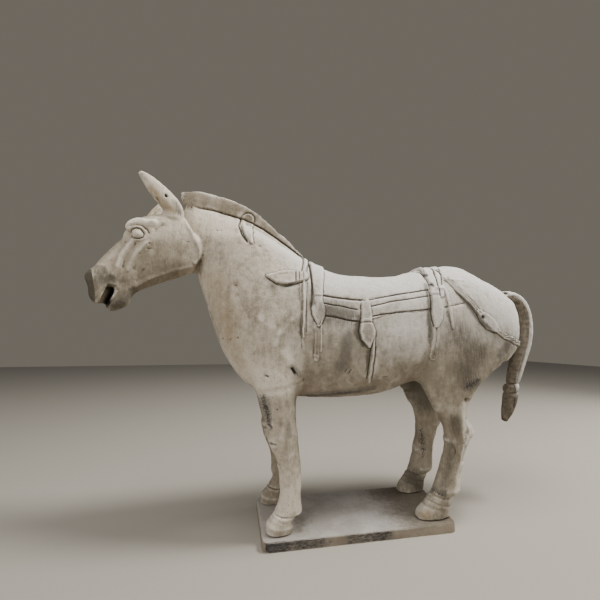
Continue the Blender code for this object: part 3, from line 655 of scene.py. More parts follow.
LEFT_HEAD_MARKS = {
    "ear hole": (-1.6, 0.6, [(13.3, 10.6, 168.4), (13.7, 10.6, 168.8)]),
    "ear seam": (-0.7, 0.4, [(17.9, 9.7, 166.6), (16.9, 9.6, 164.9), (14.1, 8.7, 161.1)]),
    "ear seam bead": (0.5, 0.4, [(16, 9.6, 163.6), (15.9, 9.6, 163.5)]),
    "ear base": (-0.5, 0.6, [(4.2, 9.1, 162.7), (3.6, 8.8, 158.4)]),
    "pit one": (-0.5, 0.4, [(20.4, 9.4, 142.4), (20.6, 9.4, 142.3)]),
    "pit two": (-0.5, 0.4, [(19.1, 9.6, 139.8), (21.1, 9.3, 139.6)]),
    "pit three": (-0.45, 0.4, [(1.1, 10.8, 145.6), (2.4, 10.8, 145.4)]),
    "pit four": (-0.45, 0.35, [(9.5, 11.2, 143.3), (9.9, 11.2, 143.3)]),
}


def carved(coordinates, marks):
    """Height of all marks in parts: tall ones add up where they cross."""
    height = np.zeros(len(coordinates[0]))
    for tall, width, route in marks.values():
        away = off_line(coordinates, route)[0]
        height += tall * np.exp(-(away / width) ** 2)
    return height


print(len(HEAD_MARKS) + len(LEFT_HEAD_MARKS), "marks on the head")

# %% [markdown]
# The flank's marks are given by x and z alone. The three long lines are the edges of the saddle cloth's
# layers, drawn with a point in the damp clay, and they stop where a strap lies over them.

# %% Marks of the left flank
CLOTH_LINES = {
    "top line": (-0.9, 0.36, [(-18.8, 117.2), (-12.5, 116), (-4.2, 115.1), (4.4, 114.7), (17.8, 117.4),
        (31.6, 119.9), (41.4, 121.5)]),
    "middle line, front": (-0.8, 0.34, [(-19, 112.8), (-13, 111.7), (-6.5, 110.6), (-1.7, 109.4)]),
    "middle line, back": (-0.8, 0.34, [(6.1, 111.3), (16.9, 113.9), (39.8, 117.7)]),
    "low line, front": (-0.9, 0.36, [(-19, 106.3), (-13.5, 105.6), (-7.5, 104), (-2.3, 103.6)]),
    "low line, back": (-0.9, 0.36, [(6.7, 106.1), (20.2, 108.4), (38.3, 110.3)]),
    "low line, end": (-0.5, 0.36, [(38.3, 110.3), (47.7, 111.4), (56.1, 112.8), (61.5, 114.3)]),
}
FLANK_MARKS = {
    "top line, thick part": (-0.7, 0.6, [(-18.4, 117), (-8, 115.7), (3, 114.7)]),
    "cord groove, front": (-0.35, 0.5, [(-29.9, 123), (-30.8, 111), (-31.2, 97), (-31.4, 90)]),
    "cord groove, back": (-0.5, 0.45, [(-26.8, 124), (-27.8, 115), (-28.4, 104), (-28.6, 98)]),
    "ribbon split": (-0.5, 0.4, [(-24.8, 99), (-24.9, 94), (-25, 87)]),
    "ribbon edge": (0.7, 0.4, [(-20.9, 103), (-21.3, 96), (-21.4, 88)]),
    "ribbon end": (-0.35, 1.3, [(-24.4, 84.8), (-22.6, 84.6)]),
    "ribbon middle": (-0.3, 0.4, [(-23.3, 98), (-23.3, 94), (-23.4, 87)]),
    "croup ribbon split": (-0.45, 0.4, [(43.2, 100), (43, 94), (42.4, 86)]),
    "withers clamp": (-0.5, 0.4, [(-24.8, 116.3), (-19, 116.3)]),
    "middle clamp": (-0.5, 0.4, [(0, 102.8), (6.4, 102.8)]),
    "croup clamp": (-0.5, 0.4, [(41.4, 118.3), (47.2, 118.3)]),
    "upper stud": (0.5, 0.9, [(44.6, 131.2), (44.7, 131.1)]),
    "lower stud": (0.7, 0.9, [(44.3, 124.6), (44.4, 124.5)]),
    "upper dimple": (-1.6, 0.7, [(44, 131.3), (43.9, 131.1)]),
    "lower dimple": (-1.6, 0.7, [(43.9, 124.4), (43.9, 124.2)]),
    "loop tab": (0.7, 0.8, [(46.6, 122), (50.2, 122.4)]),
    "fold": (0.5, 0.7, [(53.5, 128.4), (59.4, 128.1), (65.8, 128)]),
    "notch": (-1.4, 0.6, [(53.2, 134.6), (53.6, 132.2)]),
    "crupper leaf hole": (-1.8, 0.7, [(72.4, 106.5), (72.6, 106.4)]),
    "crupper cord groove": (-0.5, 0.4, [(54.8, 129), (59.9, 121.3), (67, 114.2), (70.8, 109)]),
    "binding one": (-0.8, 0.35, [(-32.9, 130.2), (-33.2, 124.8)]),
    "binding two": (-0.6, 0.35, [(-31.1, 129.8), (-31.3, 125.2)]),
    "binding three": (-0.5, 0.35, [(-28.8, 129.6), (-28.9, 125.8)]),
    "binding ridge": (0.35, 0.4, [(-32, 130.8), (-32.2, 124.2)]),
    "leaf dent": (-0.3, 0.8, [(-38.6, 128.4), (-42.6, 128)]),
    "leaf top": (-0.35, 0.4, [(-48, 127.9), (-43.2, 129.9), (-38.4, 131.1), (-33.4, 131.1)]),
    "under leaf": (-0.45, 0.5, [(-48.4, 126.2), (-43.4, 122.8), (-38.2, 121.8), (-33.6, 123.2),
        (-30, 124.4)]),
    "band groove": (-0.7, 0.4, [(-24.2, 145), (-26.2, 141), (-28, 135), (-29.4, 131)]),
    "band groove, back": (-0.6, 0.4, [(-20.8, 145), (-23, 140), (-25, 134), (-26.6, 130)]),
    "strap shadow": (-0.9, 0.6, [(-23.2, 139), (-24, 132), (-24.2, 124), (-24.6, 117.5)]),
    "middle corner": (-0.4, 0.5, [(0.6, 111.6), (-0.2, 104), (-1.6, 98), (-0.6, 93.6), (2.6, 90.2)]),
    "croup corner": (-0.5, 0.6, [(41.6, 125), (41, 118), (40.2, 111), (40.2, 105), (41.4, 101.2)]),
    "crupper groove, upper": (-0.6, 0.45, [(56.8, 130), (61.4, 122.6), (68.6, 115.4), (72.6, 110.8)]),
    "crupper leaf, upper": (-0.5, 0.5, [(74.4, 110), (78.4, 107.4), (81.6, 103.6), (83.4, 100.4)]),
    "strap and lining": (-0.8, 0.45, [(52.6, 137.4), (49.9, 132), (48, 124.6), (47.6, 118.6)]),
    "lining and croup": (-0.7, 0.5, [(55.6, 136.4), (52.6, 130), (50.6, 125)]),
    "crupper corner": (-0.4, 0.6, [(57.6, 121.6), (65.2, 113.6), (69.2, 107.6), (73.2, 101.6),
        (78.6, 98.4)]),
    "cord corner": (-0.6, 0.5, [(4.9, 90), (4.1, 81), (3.8, 74)]),
    "cord corner, back": (-0.5, 0.45, [(7.7, 90), (6.8, 80), (6.6, 74)]),
    "leaf crack": (-0.5, 0.35, [(-24.6, 103.6), (-22.6, 101.2), (-20.6, 103.4)]),
    "mane base": (-1, 0.6, [(-95.6, 167.6), *MANE_ROOT[1:]]),
    "lock edge": (-0.8, 0.5, [(-62.4, 162.6), (-63.6, 157.6), (-61.9, 151.9), (-58.9, 147.2)]),
    "strap flare": (0.9, 1.5, [(44.6, 136.6), (45.4, 133.6)]),
    "flare crease": (-0.8, 0.45, [(41.8, 135.4), (43.4, 133.4), (43, 129)]),
    "light panel": (0.4, 1.2, [(62.6, 125.4), (62, 118.6)]),
    "cord knot": (0.5, 1.3, [(5.3, 72.4), (5.3, 71.4)]),
    "scratch one": (-0.45, 0.35, [(-7.4, 79.1), (-8.3, 77.3)]),
    "scratch two": (-0.45, 0.35, [(-5.2, 78.7), (-6.4, 76.4)]),
    "neck crease": (-0.5, 2.2, [(-64.6, 121.9), (-60.7, 111), (-56.6, 102.6), (-57.5, 95.4),
        (-58.2, 90.3)]),
    "breast ridge": (0.42, 2, [(-52, 104.7), (-47.9, 101), (-43.9, 98.2)]),
    "shoulder ridge": (0.55, 1.7, [(-36, 104.2), (-39.2, 100.1), (-42.8, 95.9), (-44.4, 91.8)]),
    "shoulder point": (0.7, 2.6, [(-39.7, 87.2), (-37.1, 82.7)]),
    "chest scar": (-0.7, 0.7, [(-36, 79.4), (-34.6, 77.6)]),
    "elbow crease": (-0.3, 1.3, [(-53.5, 68.1), (-47, 68.7), (-39.5, 70), (-33.1, 71.5), (-29.6, 73.4)]),
    "chest pit one": (-0.5, 0.5, [(-49.3, 76.3), (-47.8, 75.6)]),
    "chest pit two": (-0.5, 0.4, [(-39.2, 75.2), (-39.1, 75.1)]),
    "neck pit one": (-0.5, 0.4, [(-70.8, 94.4), (-70.7, 94.3)]),
    "neck pit two": (-0.5, 0.4, [(-66.8, 93.9), (-66.6, 93.9)]),
    "neck pit three": (-0.5, 0.5, [(-63.3, 94.9), (-63, 94.8)]),
    "crest pit one": (-0.5, 0.4, [(-75.3, 154.1), (-75.2, 154.1)]),
    "crest pit two": (-0.5, 0.4, [(-73.2, 154.2), (-73.1, 154.2)]),
    "lock groove": (-0.35, 0.35, [(-62.8, 161), (-61.8, 154), (-58.8, 148)]),
}
print(len(CLOTH_LINES) + len(FLANK_MARKS), "marks on the flank")

# %% [markdown]
# The crupper ends in a rope of three strands that runs back to the rump's edge, along the stations of its
# run.

# %% Strands of the crupper rope
ROPE = HARNESS["crupper rope"][1]
ROPE_HALF = 1.5
STRAND = 1.0
STRAND_DEPTH = 0.4
ROPE_TURN = 5.0


def rope_strands(x, z):
    """Grooves along the crupper rope, between three strands that wind a little."""
    away = off_line((x, z), ROPE)[0]
    middle = np.interp(x, [station[0] for station in ROPE], [station[1] for station in ROPE])
    across = np.where(z < middle, -away, away)
    wind = 0.3 * np.sin(2 * math.pi * x / ROPE_TURN)
    strands = np.cos(2 * math.pi * (across + wind) / STRAND)
    return STRAND_DEPTH * strands * soft_step(ROPE_HALF - away, 0, 0.5)


print("the rope has", round(2 * ROPE_HALF / STRAND), "strands")

# %% [markdown]
# ## Legs and hooves
#
# The legs were rolled and then pinched to shape. Hooves are set off by one or two pressed lines, and the
# fetlock bulges over the pastern. The marks go round the leg, so they are given by x and z alone, and those
# of the left pair serve the right pair too. The right hind leg stands further back by a few parts.

# %% Marks of the legs
RIGHT_HIND_SHIFT = 3.8
LEGS_TOP = 62
LEG_MARKS = {
    "fore coronet": (-0.6, 0.38, [(-47, 10.6), (-44.4, 9.4), (-39.7, 8.4), (-34.7, 8.1), (-32.6, 8.6)]),
    "fore hoof line": (-0.22, 0.45, [(-47.6, 8.2), (-44.6, 7.6), (-41.9, 6.8), (-38.5, 5.6)]),
    "fore hoof swell": (0.4, 1.4, [(-47.6, 4.4), (-42, 3.4), (-36, 3.4)]),
    "fore fetlock": (0.5, 1.1, [(-29.8, 9.6), (-32.6, 9.2)]),
    "fore pastern": (-0.9, 0.9, [(-30.6, 7.4), (-33.4, 7)]),
    "knee": (0.6, 2.6, [(-46.4, 44.6), (-45, 39)]),
    "knee crack": (-0.6, 0.5, [(-45.6, 43), (-44.7, 42.6), (-43.9, 42.7)]),
    "fore tendon": (-0.3, 1.1, [(-34.6, 36), (-34.4, 28), (-34, 19)]),
    "fore wipe one": (-0.1, 0.7, [(-39.4, 52), (-38.2, 38), (-37.8, 22)]),
    "fore wipe two": (0.12, 0.8, [(-41.6, 48), (-40.4, 34), (-40.2, 22)]),
    "front crack one": (-0.6, 0.5, [(-50.6, 62), (-48.6, 60.4)]),
    "front crack two": (-0.6, 0.5, [(-47.6, 52), (-45.8, 51)]),
    "front crack three": (-0.5, 0.4, [(-43.4, 33), (-42, 32.4)]),
    "hind coronet": (-0.3, 0.38, [(34.8, 10), (37.3, 9.2), (39.6, 8.8), (43.4, 7.3), (48.6, 6.2),
        (52, 6.4)]),
    "hind hoof line": (-0.18, 0.45, [(33.8, 7.4), (38.6, 6.2), (44, 4.6)]),
    "hind fetlock": (0.9, 1.9, [(57.4, 13.4), (53, 13.8), (48, 13.6)]),
    "under the hind fetlock": (-0.6, 0.6, [(41.6, 11.6), (45.4, 10.4), (50.1, 10.6), (54.6, 9.6)]),
    "hock": (0.8, 2.4, [(68.6, 45), (66.6, 41)]),
    "hock hollow": (-0.8, 2.2, [(61.6, 50.6), (60.8, 44)]),
    "hind tendon": (0.5, 1.2, [(63.2, 36), (61, 27), (59.2, 20)]),
    "hind tendon valley": (-0.5, 1.1, [(60, 36), (58, 27), (56, 20)]),
    "gaskin groove": (-0.5, 1.8, [(61.4, 62), (60.6, 54)]),
}


def leg_coordinates(x, y, z):
    """x and z of all four legs, laid on those of the left pair."""
    return x - RIGHT_HIND_SHIFT * ((y > 0) & (x > 0)), z


print(len(LEG_MARKS), "marks on the legs")

# %% [markdown]
# All marks now add up to one height for each point. Rolled clay has no ruler-straight edge, so the straps
# are looked up at points that waver a little. The far cheek carries the head's marks more weakly.

# %% Heights of all the marks
FINE_BEVEL = 0.5
STRAP_GROOVE = 0.12
WAVER, WAVER_SIZE = 0.18, 0.009

points = points_of(horse)
x, y, z = in_parts(points)
s, t = along_head(x, y)
normals = even_normals(horse, 8)
sideways = normals[:, 1]
left = soft_step(-sideways, 0, 0.35)
on_flank = np.abs(sideways) > 0.2
wavering = points + WAVER * PART * np.stack([lumps(points, WAVER_SIZE, k) for k in (1, 2, 3)], axis=1)
xw, _, zw = in_parts(wavering)
harness = harness_height(xw, zw, sideways, FINE_BEVEL, STRAP_GROOVE)
head_zone = soft_step(s, -12, -8) * soft_step(z, 100, 106)
body_zone = 1 - soft_step(s, -8, -2) * soft_step(z, 100, 106)
near_cheek = 0.4 + 0.6 * soft_step(t, -3, 2)

height = harness + body_zone * left * (z > 60) * carved((x, z), FLANK_MARKS)
height += (harness < 0.75) * on_flank * carved((xw, zw), CLOTH_LINES)
height += on_flank * rope_strands(x, z)
height += head_zone * near_cheek * carved((s, np.abs(t), z), HEAD_MARKS)
height += head_zone * carved((s, t, z), LEFT_HEAD_MARKS)
height += (z < LEGS_TOP) * carved(leg_coordinates(x, y, z), LEG_MARKS)
print("carved from", round(float(height.min()), 2), "to", round(float(height.max()), 2), "parts")

# %% [markdown]
# Last come the marks of hands and age all over: broad dents from the fingers, shallow facets from the
# wooden tool, and small pits where grit or slip has come away.

# %% Dents, facets and pits
calm = (1 - 0.6 * np.clip(harness, 0, 1)) * (1 - 0.6 * head_zone)
finger_dents = uneven(points, 0.22, 0.026, 1, 10)
tool_facets = uneven(points, 0.09, 0.009, 0.55, 11)
grit = uneven(points, 0.04, 0.0042, 1, 12)
pits = lumps(points, 0.0052, 13) + 0.5 * lumps(points, 0.03, 14)
height += (finger_dents + tool_facets) * calm + grit * (1 - 0.5 * head_zone)
height -= 0.30 * soft_step(pits, 1.75, 2.3) * (1 - 0.7 * head_zone)
points = points + normals * (height * PART)[:, None]
put_points(horse, np.clip(points, *[np.array(corner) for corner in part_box("horse")]))
print("the horse is carved at", len(points), "points")

# %% [markdown]
# A piece may have at most 200,000 triangles. The Decimate modifier thins a piece down to its most
# triangles, taking them from the flattest places first, so the carving stays.

# %% Thin out the flat places
MOST_TRIANGLES = 190000


def thin_out(item, most):
    """Take away the least needed triangles, if there are more than most."""
    triangles = sum(len(p.vertices) - 2 for p in item.data.polygons)
    if triangles > most:
        modifier = item.modifiers.new("thin out", "DECIMATE")
        modifier.ratio = most / triangles
        finished_mesh(item)
    item.data.shade_smooth()
    print(item.name, "has", sum(len(p.vertices) - 2 for p in item.data.polygons), "triangles")


thin_out(horse, MOST_TRIANGLES)

# %% [markdown]
# ## The tail
#
# The tail is a thick roll of clay with a strip twisted over its root and a knot low down. It was made apart
# and pushed into the rump.

# %% The tail's skin and marks
TAIL_GRAIN = 0.0010
TAIL_TRIANGLES = 60000
TAIL_MARKS = {
    "strip groove": (-0.5, 0.45, [(111.5, 118.6), (117, 117.4), (120.4, 112.6), (121.4, 106.5)]),
    "hair groove one": (-0.4, 0.5, [(121, 104), (119.6, 94), (116.2, 84), (112.4, 74), (110.6, 67)]),
    "hair groove two": (-0.35, 0.5, [(123.6, 102), (121.8, 92), (118.2, 82), (114.6, 74), (112.4, 68)]),
    "knot top": (-0.8, 0.6, [(106.6, 66.2), (113.6, 66.6)]),
    "knot": (0.5, 1.6, [(106.8, 63.6), (112.8, 63.9)]),
    "knot bottom": (-0.7, 0.6, [(105.6, 60.6), (112, 61.2)]),
    "end groove one": (-0.35, 0.5, [(108.6, 60), (106.8, 52), (104.2, 45)]),
    "end groove two": (-0.3, 0.45, [(110.8, 59), (108.6, 51), (105.4, 44)]),
    "dark dent": (-0.6, 0.6, [(108.2, 57.6), (108.4, 57.2)]),
}
tail = skin_of("tail", "clay_tail", TAIL_GRAIN)
put_points(tail, sponge(points_of(tail), edges_of(tail), 24, 0.5, 0.4))
points = points_of(tail)
x, y, z = in_parts(points)
normals = even_normals(tail, 4)
height = carved((x, z), TAIL_MARKS) * soft_step(np.abs(normals[:, 1]), 0.1, 0.4)
height += uneven(points, 0.07, 0.014, 0.5, 20) + uneven(points, 0.02, 0.004, 1, 21)
points = points + normals * (height * PART)[:, None]
put_points(tail, np.clip(points, *[np.array(corner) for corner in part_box("tail")]))
thin_out(tail, TAIL_TRIANGLES)

# %% [markdown]
# ## The slab
#
# The slab was rolled flat and cut with a wire, aslant at its right end. Its rim is rubbed round and
# chipped, and the side that faces us has shallow hollows.

# %% The slab's skin and wear
SLAB_GRAIN = 0.0011
SLAB_TRIANGLES = 120000
SLAB_FOOT = 0.0016

slab = skin_of("base_slab", "clay_slab", SLAB_GRAIN)
slab_low, slab_high = (np.array(corner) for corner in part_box("base_slab"))
put_points(slab, sponge(points_of(slab), edges_of(slab), 1, 0.4))
points = points_of(slab)
normals = even_normals(slab, 3)
rim = soft_step(1 - np.abs(normals).max(axis=1), 0.02, 0.25)
hollows = 0.10 * np.abs(lumps(points, 0.022, 30)) + 0.05 * np.abs(lumps(points, 0.006, 31))
rim_wear = rim * (0.35 * soft_step(lumps(points, 0.013, 32), 0.2, 1.4) + 0.15)
points = points - normals * ((hollows + rim_wear) * PART)[:, None]
points[:, 2] = np.where(points[:, 2] < SLAB_FOOT, slab_low[2], points[:, 2])
put_points(slab, np.clip(points, slab_low, slab_high))
thin_out(slab, SLAB_TRIANGLES)

# %% [markdown]
# ## Each piece takes the place of its solid
#
# Nothing moves, so all three ride on the one body, and the solid that each piece replaces is hidden.

# %% Rides and hidden solids
for piece, node, finish in ((horse, "horse", "cream_slip"), (tail, "tail", "brown_clay"),
                            (slab, "base_slab", "bare_clay")):
    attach(piece, "root")
    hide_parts(node)
print("pieces:", [piece.name for piece in (horse, tail, slab)])

# %% [markdown]
# ## Where the slip is worn, stained and burnt, and where light and shade are painted
#
# The kiln left black clouds, iron left ochre, and the slip is thickest on the back and thin on the belly
# and legs. Light and shade are painted in as well: painted shade in hollows, lines, the mouth and the holes,
# beside and under the straps and on the far legs, and painted highlights on ridges and rear edges. These
# places belong to this one figure, so they are put on as attributes of the points: a patch is x, y, z and a
# radius in parts. The material later breaks up each patch's edge with a fine noise.

# %% Stains and paint
def stained(coordinates, stains):
    """1 along a stain's middle line, fading to 0 at its radius."""
    mask = np.zeros(len(coordinates[0]))
    for route in stains.values():
        away, radius = off_line(coordinates, route)
        mask = np.maximum(mask, 1 - away / np.maximum(radius, 0.1))
    return np.clip(mask, 0, 1)


def paint(item, name, values):
    """Give the item's points an attribute that a material can read."""
    attribute = item.data.attributes.new(name, "FLOAT", "POINT")
    attribute.data.foreach_set("value", np.clip(values, 0, 1).astype(np.float32))


print("in its middle a stain is", stained((np.zeros(1),), {"spot": [(0, 1), (1, 1)]})[0])

# %% [markdown]
# Black flakes, grey bruises and the drilled holes lie flat on a flank, so x, z and a radius place them.

# %% Black and grey places
LEFT_BLACK = {
    "fore leg": [(-50.4, 66, 4), (-49, 61.5, 6.2), (-47.6, 56, 5), (-46.4, 49.6, 2.6)],
    "fore leg side": [(-44, 60, 2.2), (-42.6, 59, 1.6)],
    "gaskin": [(60.4, 68.6, 4.6), (64, 69.2, 6.4), (67.8, 71.6, 5)],
    "hock": [(59.4, 43.4, 2.2), (59.8, 40.3, 2.6), (58.4, 37.6, 1.8)],
    "hock front": [(56.4, 44.5, 1.2), (56.9, 44.2, 1.2)],
    "hind cannon": [(53.9, 32.8, 1.1), (54, 32.6, 1.1)],
    "hind cannon, low": [(47.8, 28.6, 1.1), (47.9, 28.4, 1.1)],
    "hind fetlock": [(41.6, 15.2, 1.8), (42.4, 13, 2.2), (46, 11.6, 1.6)],
    "chest scar": [(-36, 79.4, 1.8), (-34.7, 77.6, 2.2), (-32.6, 75.6, 1.8)],
    "chest pits": [(-49.3, 76.3, 1.2), (-48, 75.6, 1.3)],
    "belly chip": [(-26, 63.4, 3), (-16, 64.2, 2.2), (-8, 65, 3.4), (4, 66.2, 2.4)],
    "belly scratch": [(10, 74.2, 0.8), (15, 74.6, 1.1), (18.6, 77, 0.8)],
    "knee": [(-44.9, 42.7, 1.1), (-43, 42.5, 1.1)],
}
RIGHT_BLACK = {
    "hind leg": [(53, 37, 3.2), (53.6, 32, 5), (53.2, 24, 4.4), (52.6, 20, 2.4)],
}
BRUISES = {
    "fore leg": [(-37.6, 51.6, 2.8), (-37, 46.6, 2.8)],
    "flank": [(-7, 96, 5.5), (-8.2, 88, 6.5), (-10.8, 80, 6.5)],
    "belly": [(-26, 64, 3.6), (10, 68, 3.6)],
    "fore leg top": [(-49.6, 64, 6), (-47.8, 55, 5)],
    "gaskin": [(59.4, 69, 6), (67, 70.2, 7.4)],
    "gaskin back": [(70, 60, 3.4), (68, 50, 3)],
    "rump": [(84, 86, 6), (92, 92, 5)],
    "scar": [(-36, 80, 3.4), (-31.6, 76, 3.6)],
    "hind fetlock": [(41.6, 14.6, 2.6), (46, 12.6, 2.2)],
    "mane lock": [(-62.6, 156, 2.4), (-60, 149, 2)],
}
HOLES = {
    "upper strap": [(43.9, 131.3, 1.5), (44, 131, 1.5)],
    "lower strap": [(43.9, 124.5, 1.6), (44, 124.1, 1.6)],
    "crupper leaf": [(72.4, 106.6, 1.8), (72.5, 106.4, 1.8)],
    "scar": [(-35.8, 79.4, 1.2), (-34.6, 77.4, 1.4)],
}
print(len(LEFT_BLACK) + len(RIGHT_BLACK) + len(BRUISES), "black and grey places")

# %% [markdown]
# Ochre stains and the brown places go through to hidden sides, so they are placed by x, y, z and a radius,
# and those of the head by its own directions. The brown places are partly brown stains and partly
# painted shade.

# %% Ochre and brown places
OCHRE_STAINS = {
    "neck": [(-80, -16, 124, 15), (-73, -20, 102, 15), (-66, -19, 80, 11)],
    "toe": [(32.9, -20, 2.9, 4), (36, -20, 2.9, 4)],
    "brow side": [(-118, -10.4, 152, 4), (-112, -10.4, 155, 5)],
}
HEAD_OCHRE = {
    "near ear": [(21, 10.2, 171.4, 2.2), (17.6, 10.2, 167.1, 3.6), (14.9, 10.3, 164.6, 4),
        (10, 10.3, 161.3, 3.6)],
    "far ear": [(19.6, -5, 162, 5), (17, -5, 167, 4.6)],
    "nose": [(36.6, 8, 133.4, 4.4), (38, 8, 130, 3.8)],
}
# most rows are painted shade: the far hind leg, the near hind leg's left side, beside and under the harness
BROWN_STAINS_AND_SHADE = {
    "far gaskin": [(42, 5, 82, 28), (48, 5, 66, 28), (54, 6, 54, 14)],
    "far hind foot": [(46, 12, 8, 9), (52, 12, 4, 8)],
    "hind cannon": [(50, -23, 36, 7.5), (47.4, -23, 26, 7.5), (44, -23, 16, 6)],
    "hock": [(53, -24, 50, 6), (53, -24, 44, 6)],
    "thigh": [(58, -31, 96, 15), (65, -33, 88, 18), (60, -31, 78, 15)],
    "cloth front": [(-15, -27, 109, 12), (-6, -28, 107, 9)],
    "beside the withers strap": [(-24.8, -12, 138, 2), (-25.2, -19, 128, 3), (-25.6, -23, 113, 3.6)],
    "beside the cord": [(-31.4, -18, 124, 1.3), (-31.6, -23, 110, 1.5), (-31.8, -24, 96, 0.8)],
    "below the leaf": [(-47, -13, 124.4, 1.4), (-40, -17, 121.6, 2), (-32.6, -19, 123.6, 1.8)],
    "middle leaf": [(-1.4, -25, 106, 2.2), (-2.2, -26, 97, 2.8), (0.6, -26, 91, 2.2)],
    "middle cord": [(3.4, -26, 88, 1.8), (3.2, -25, 76, 1.6)],
    "croup strap": [(41, -18, 130, 1.4), (40.2, -25, 116, 2.6), (39, -26, 104, 2.8), (39.4, -26, 90, 2.2)],
    "crupper": [(58, -22, 120.4, 1.8), (66, -24, 111.6, 2.8), (72, -25, 103, 2.4), (80, -24, 98, 1.8)],
    "hanging strip": [(49.8, -23, 118, 1.4), (50.6, -25, 108, 1.4), (52, -26, 101, 1.2)],
    "throat": [(-83, -6, 137, 2.2), (-85, -4, 131, 3.4)],
}
HEAD_BROWN = {
    "muzzle": [(41.4, 5, 126, 6), (39.6, 5.8, 121.6, 7), (35.4, 6.2, 123, 6)],
    "chin": [(34.4, 4, 110, 8), (30.4, 4.6, 113, 9), (25, 4.6, 117, 7)],
    "cheek front": [(30, 8.6, 122, 6), (27, 9.4, 123, 5)],
    "ear back": [(6, 9.6, 161, 4), (9, 9.6, 166, 3)],
}
print(len(OCHRE_STAINS) + len(HEAD_OCHRE) + len(BROWN_STAINS_AND_SHADE) + len(HEAD_BROWN), "ochre and brown places")

# %% [markdown]
# The nose ends in a dark band, partly darker clay and partly painted shade on its flat front. The inside of
# the mouth is painted nearly black, a painted shade, fading out towards the lips, and so are the drilled
# holes of the straps and the crupper leaf, the ear's hole and the scar on the chest.

# %% Nose, mouth and holes
NOSE_LINE = [(106, 42.2), (112, 42.0), (116, 42.3), (123, 43.6), (127, 44.3), (131, 46.0)]
MOUTH_LINE = [(106, 40.4), (113, 38.2), (119.6, 35.8)]
EAR_HOLE = [(13.4, 168.5), (13.6, 168.7)]

x, y, z = in_parts(points_of(horse))
s, t = along_head(x, y)
backward, sideways, up = normals_of(horse).T
near, far = y < 0, y > 0

# painted shade on the nose's flat front, partly darker clay
nose = soft_step(s - np.interp(z, *zip(*NOSE_LINE)), -0.4, 0.6) * (0.35 + 0.65 * soft_step(t, -3.5, 1.5))
nose *= soft_step(z, 107, 111) * soft_step(131 - z, 0, 3)
# painted shade inside the mouth, paler towards the upper lip
past_middle = s - np.interp(z, *zip(*MOUTH_LINE))
mouth = soft_step(3.6 - np.abs(past_middle), 0, 0.8) * np.interp(past_middle, [-1.0, 1.4], [1.0, 0.0])
mouth *= soft_step(z, 104, 106) * soft_step(z, 108, 111.5) * soft_step(121 - z, 0, 1)
mouth *= soft_step(4.6 - np.abs(t), 0, 1.4)
# painted shade inside the drilled holes and the ear's hole
holes = soft_step(stained((x, z), HOLES), 0.15, 0.6) * near * (z > 60)
ear_hole = soft_step(1.1 - off_line((s, z), EAR_HOLE)[0], 0, 0.6) * (t > 5) * (s > 5)
paint(horse, "nose", nose)
paint(horse, "mouth", np.maximum(mouth, 0.8 * np.maximum(holes, ear_hole)))
print("dark mouth and holes at", int(np.count_nonzero(mouth > 0.5)), "points")

# %% [markdown]
# Black flakes and grey bruises show only where the clay faces left, and one black streak lies on the right
# hind leg. The middle pendant has a bluish film. The rear edges of the left hind part face the lights, so
# they get none of the brown and its painted shade.

# %% Black, grey, ochre and brown
BLUISH_RUNS = ("middle block", "middle leaf")

facing_left = sideways < 0.2
black = np.maximum(stained((x, z), LEFT_BLACK) * near, stained((x, z), RIGHT_BLACK) * far)
bluish = np.zeros(len(x))
for name in BLUISH_RUNS:
    away, width = off_line((x, z), HARNESS[name][1])
    bluish = np.maximum(bluish, soft_step(width - away, -0.2, 0.4))
bruise = np.maximum(stained((x, z), BRUISES), np.interp(z, [90, 100, 114], [0.10, 0.30, 0.34]) * bluish)
head_ochre = stained((s, t, z), HEAD_OCHRE) * (s > 4)
head_brown = 0.72 * stained((s, np.abs(t), z), HEAD_BROWN) * (s > 4)
# the rear edges of the left hind part face the lights and are left out of the brown's painted shade
lit_rear = soft_step(backward, 0.2, 0.7) * (x > 34) * near
paint(horse, "black", black * facing_left)
paint(horse, "bruise", bruise * facing_left * near)
paint(horse, "ochre", np.maximum(stained((x, y, z), OCHRE_STAINS), head_ochre))
paint(horse, "brown", (1 - lit_rear) * np.maximum(stained((x, y, z), BROWN_STAINS_AND_SHADE), head_brown))
print("black at", int(np.count_nonzero(black > 0.1)), "points")

# %% [markdown]
# Drawn lines, the places beside the straps and the hollows are painted darker, partly dirt and partly
# painted shade. Ridges, the straps' rims and the lower lip are painted lighter, a painted highlight. How
# hollow a place is shows in how far it sinks below its own sponged copy.

# %% Lines, hollows and ridges
THIN_MARK = 0.65
LIP_LINE = [(33.6, 117.6), (34.2, 115.4), (35.4, 113.4), (37.0, 111.4)]


def hollowness(item, rounds):
    """How far each point lies below its surroundings, in parts; below nought it stands proud."""
    points = points_of(item)
    around = sponge(points, edges_of(item), rounds, 0.5)
    return np.sum((around - points) * normals_of(item), axis=1) / PART


off_head = s < -2
hollow = hollowness(horse, 10)
thin_marks = {name: mark for name, mark in FLANK_MARKS.items() if mark[1] < THIN_MARK}
off_straps = harness_height(x, z, sideways, FINE_BEVEL) < 0.75
lines = np.minimum(carved((x, z), CLOTH_LINES), 0) * off_straps
lines += np.minimum(carved((x, z), thin_marks), 0) * near * off_head
depth = inside_harness(x, z, ("ribbon", "cord"))
on_side = (z > 66) * (np.abs(sideways) > 0.15) * off_head
# painted shade and dirt beside the straps, and a painted highlight along their rims
shade_beside_strap = 0.55 * np.exp(-((depth + 0.35) / 0.3) ** 2) * on_side
strap_rim_highlight = 0.45 * np.exp(-((depth - 0.45) / 0.35) ** 2) * on_side
flank_relief = carved((x, z), FLANK_MARKS) * near * off_head * (z > 62)
head_relief = carved((s, np.abs(t), z), HEAD_MARKS) * (s > -6) * (z > 104)
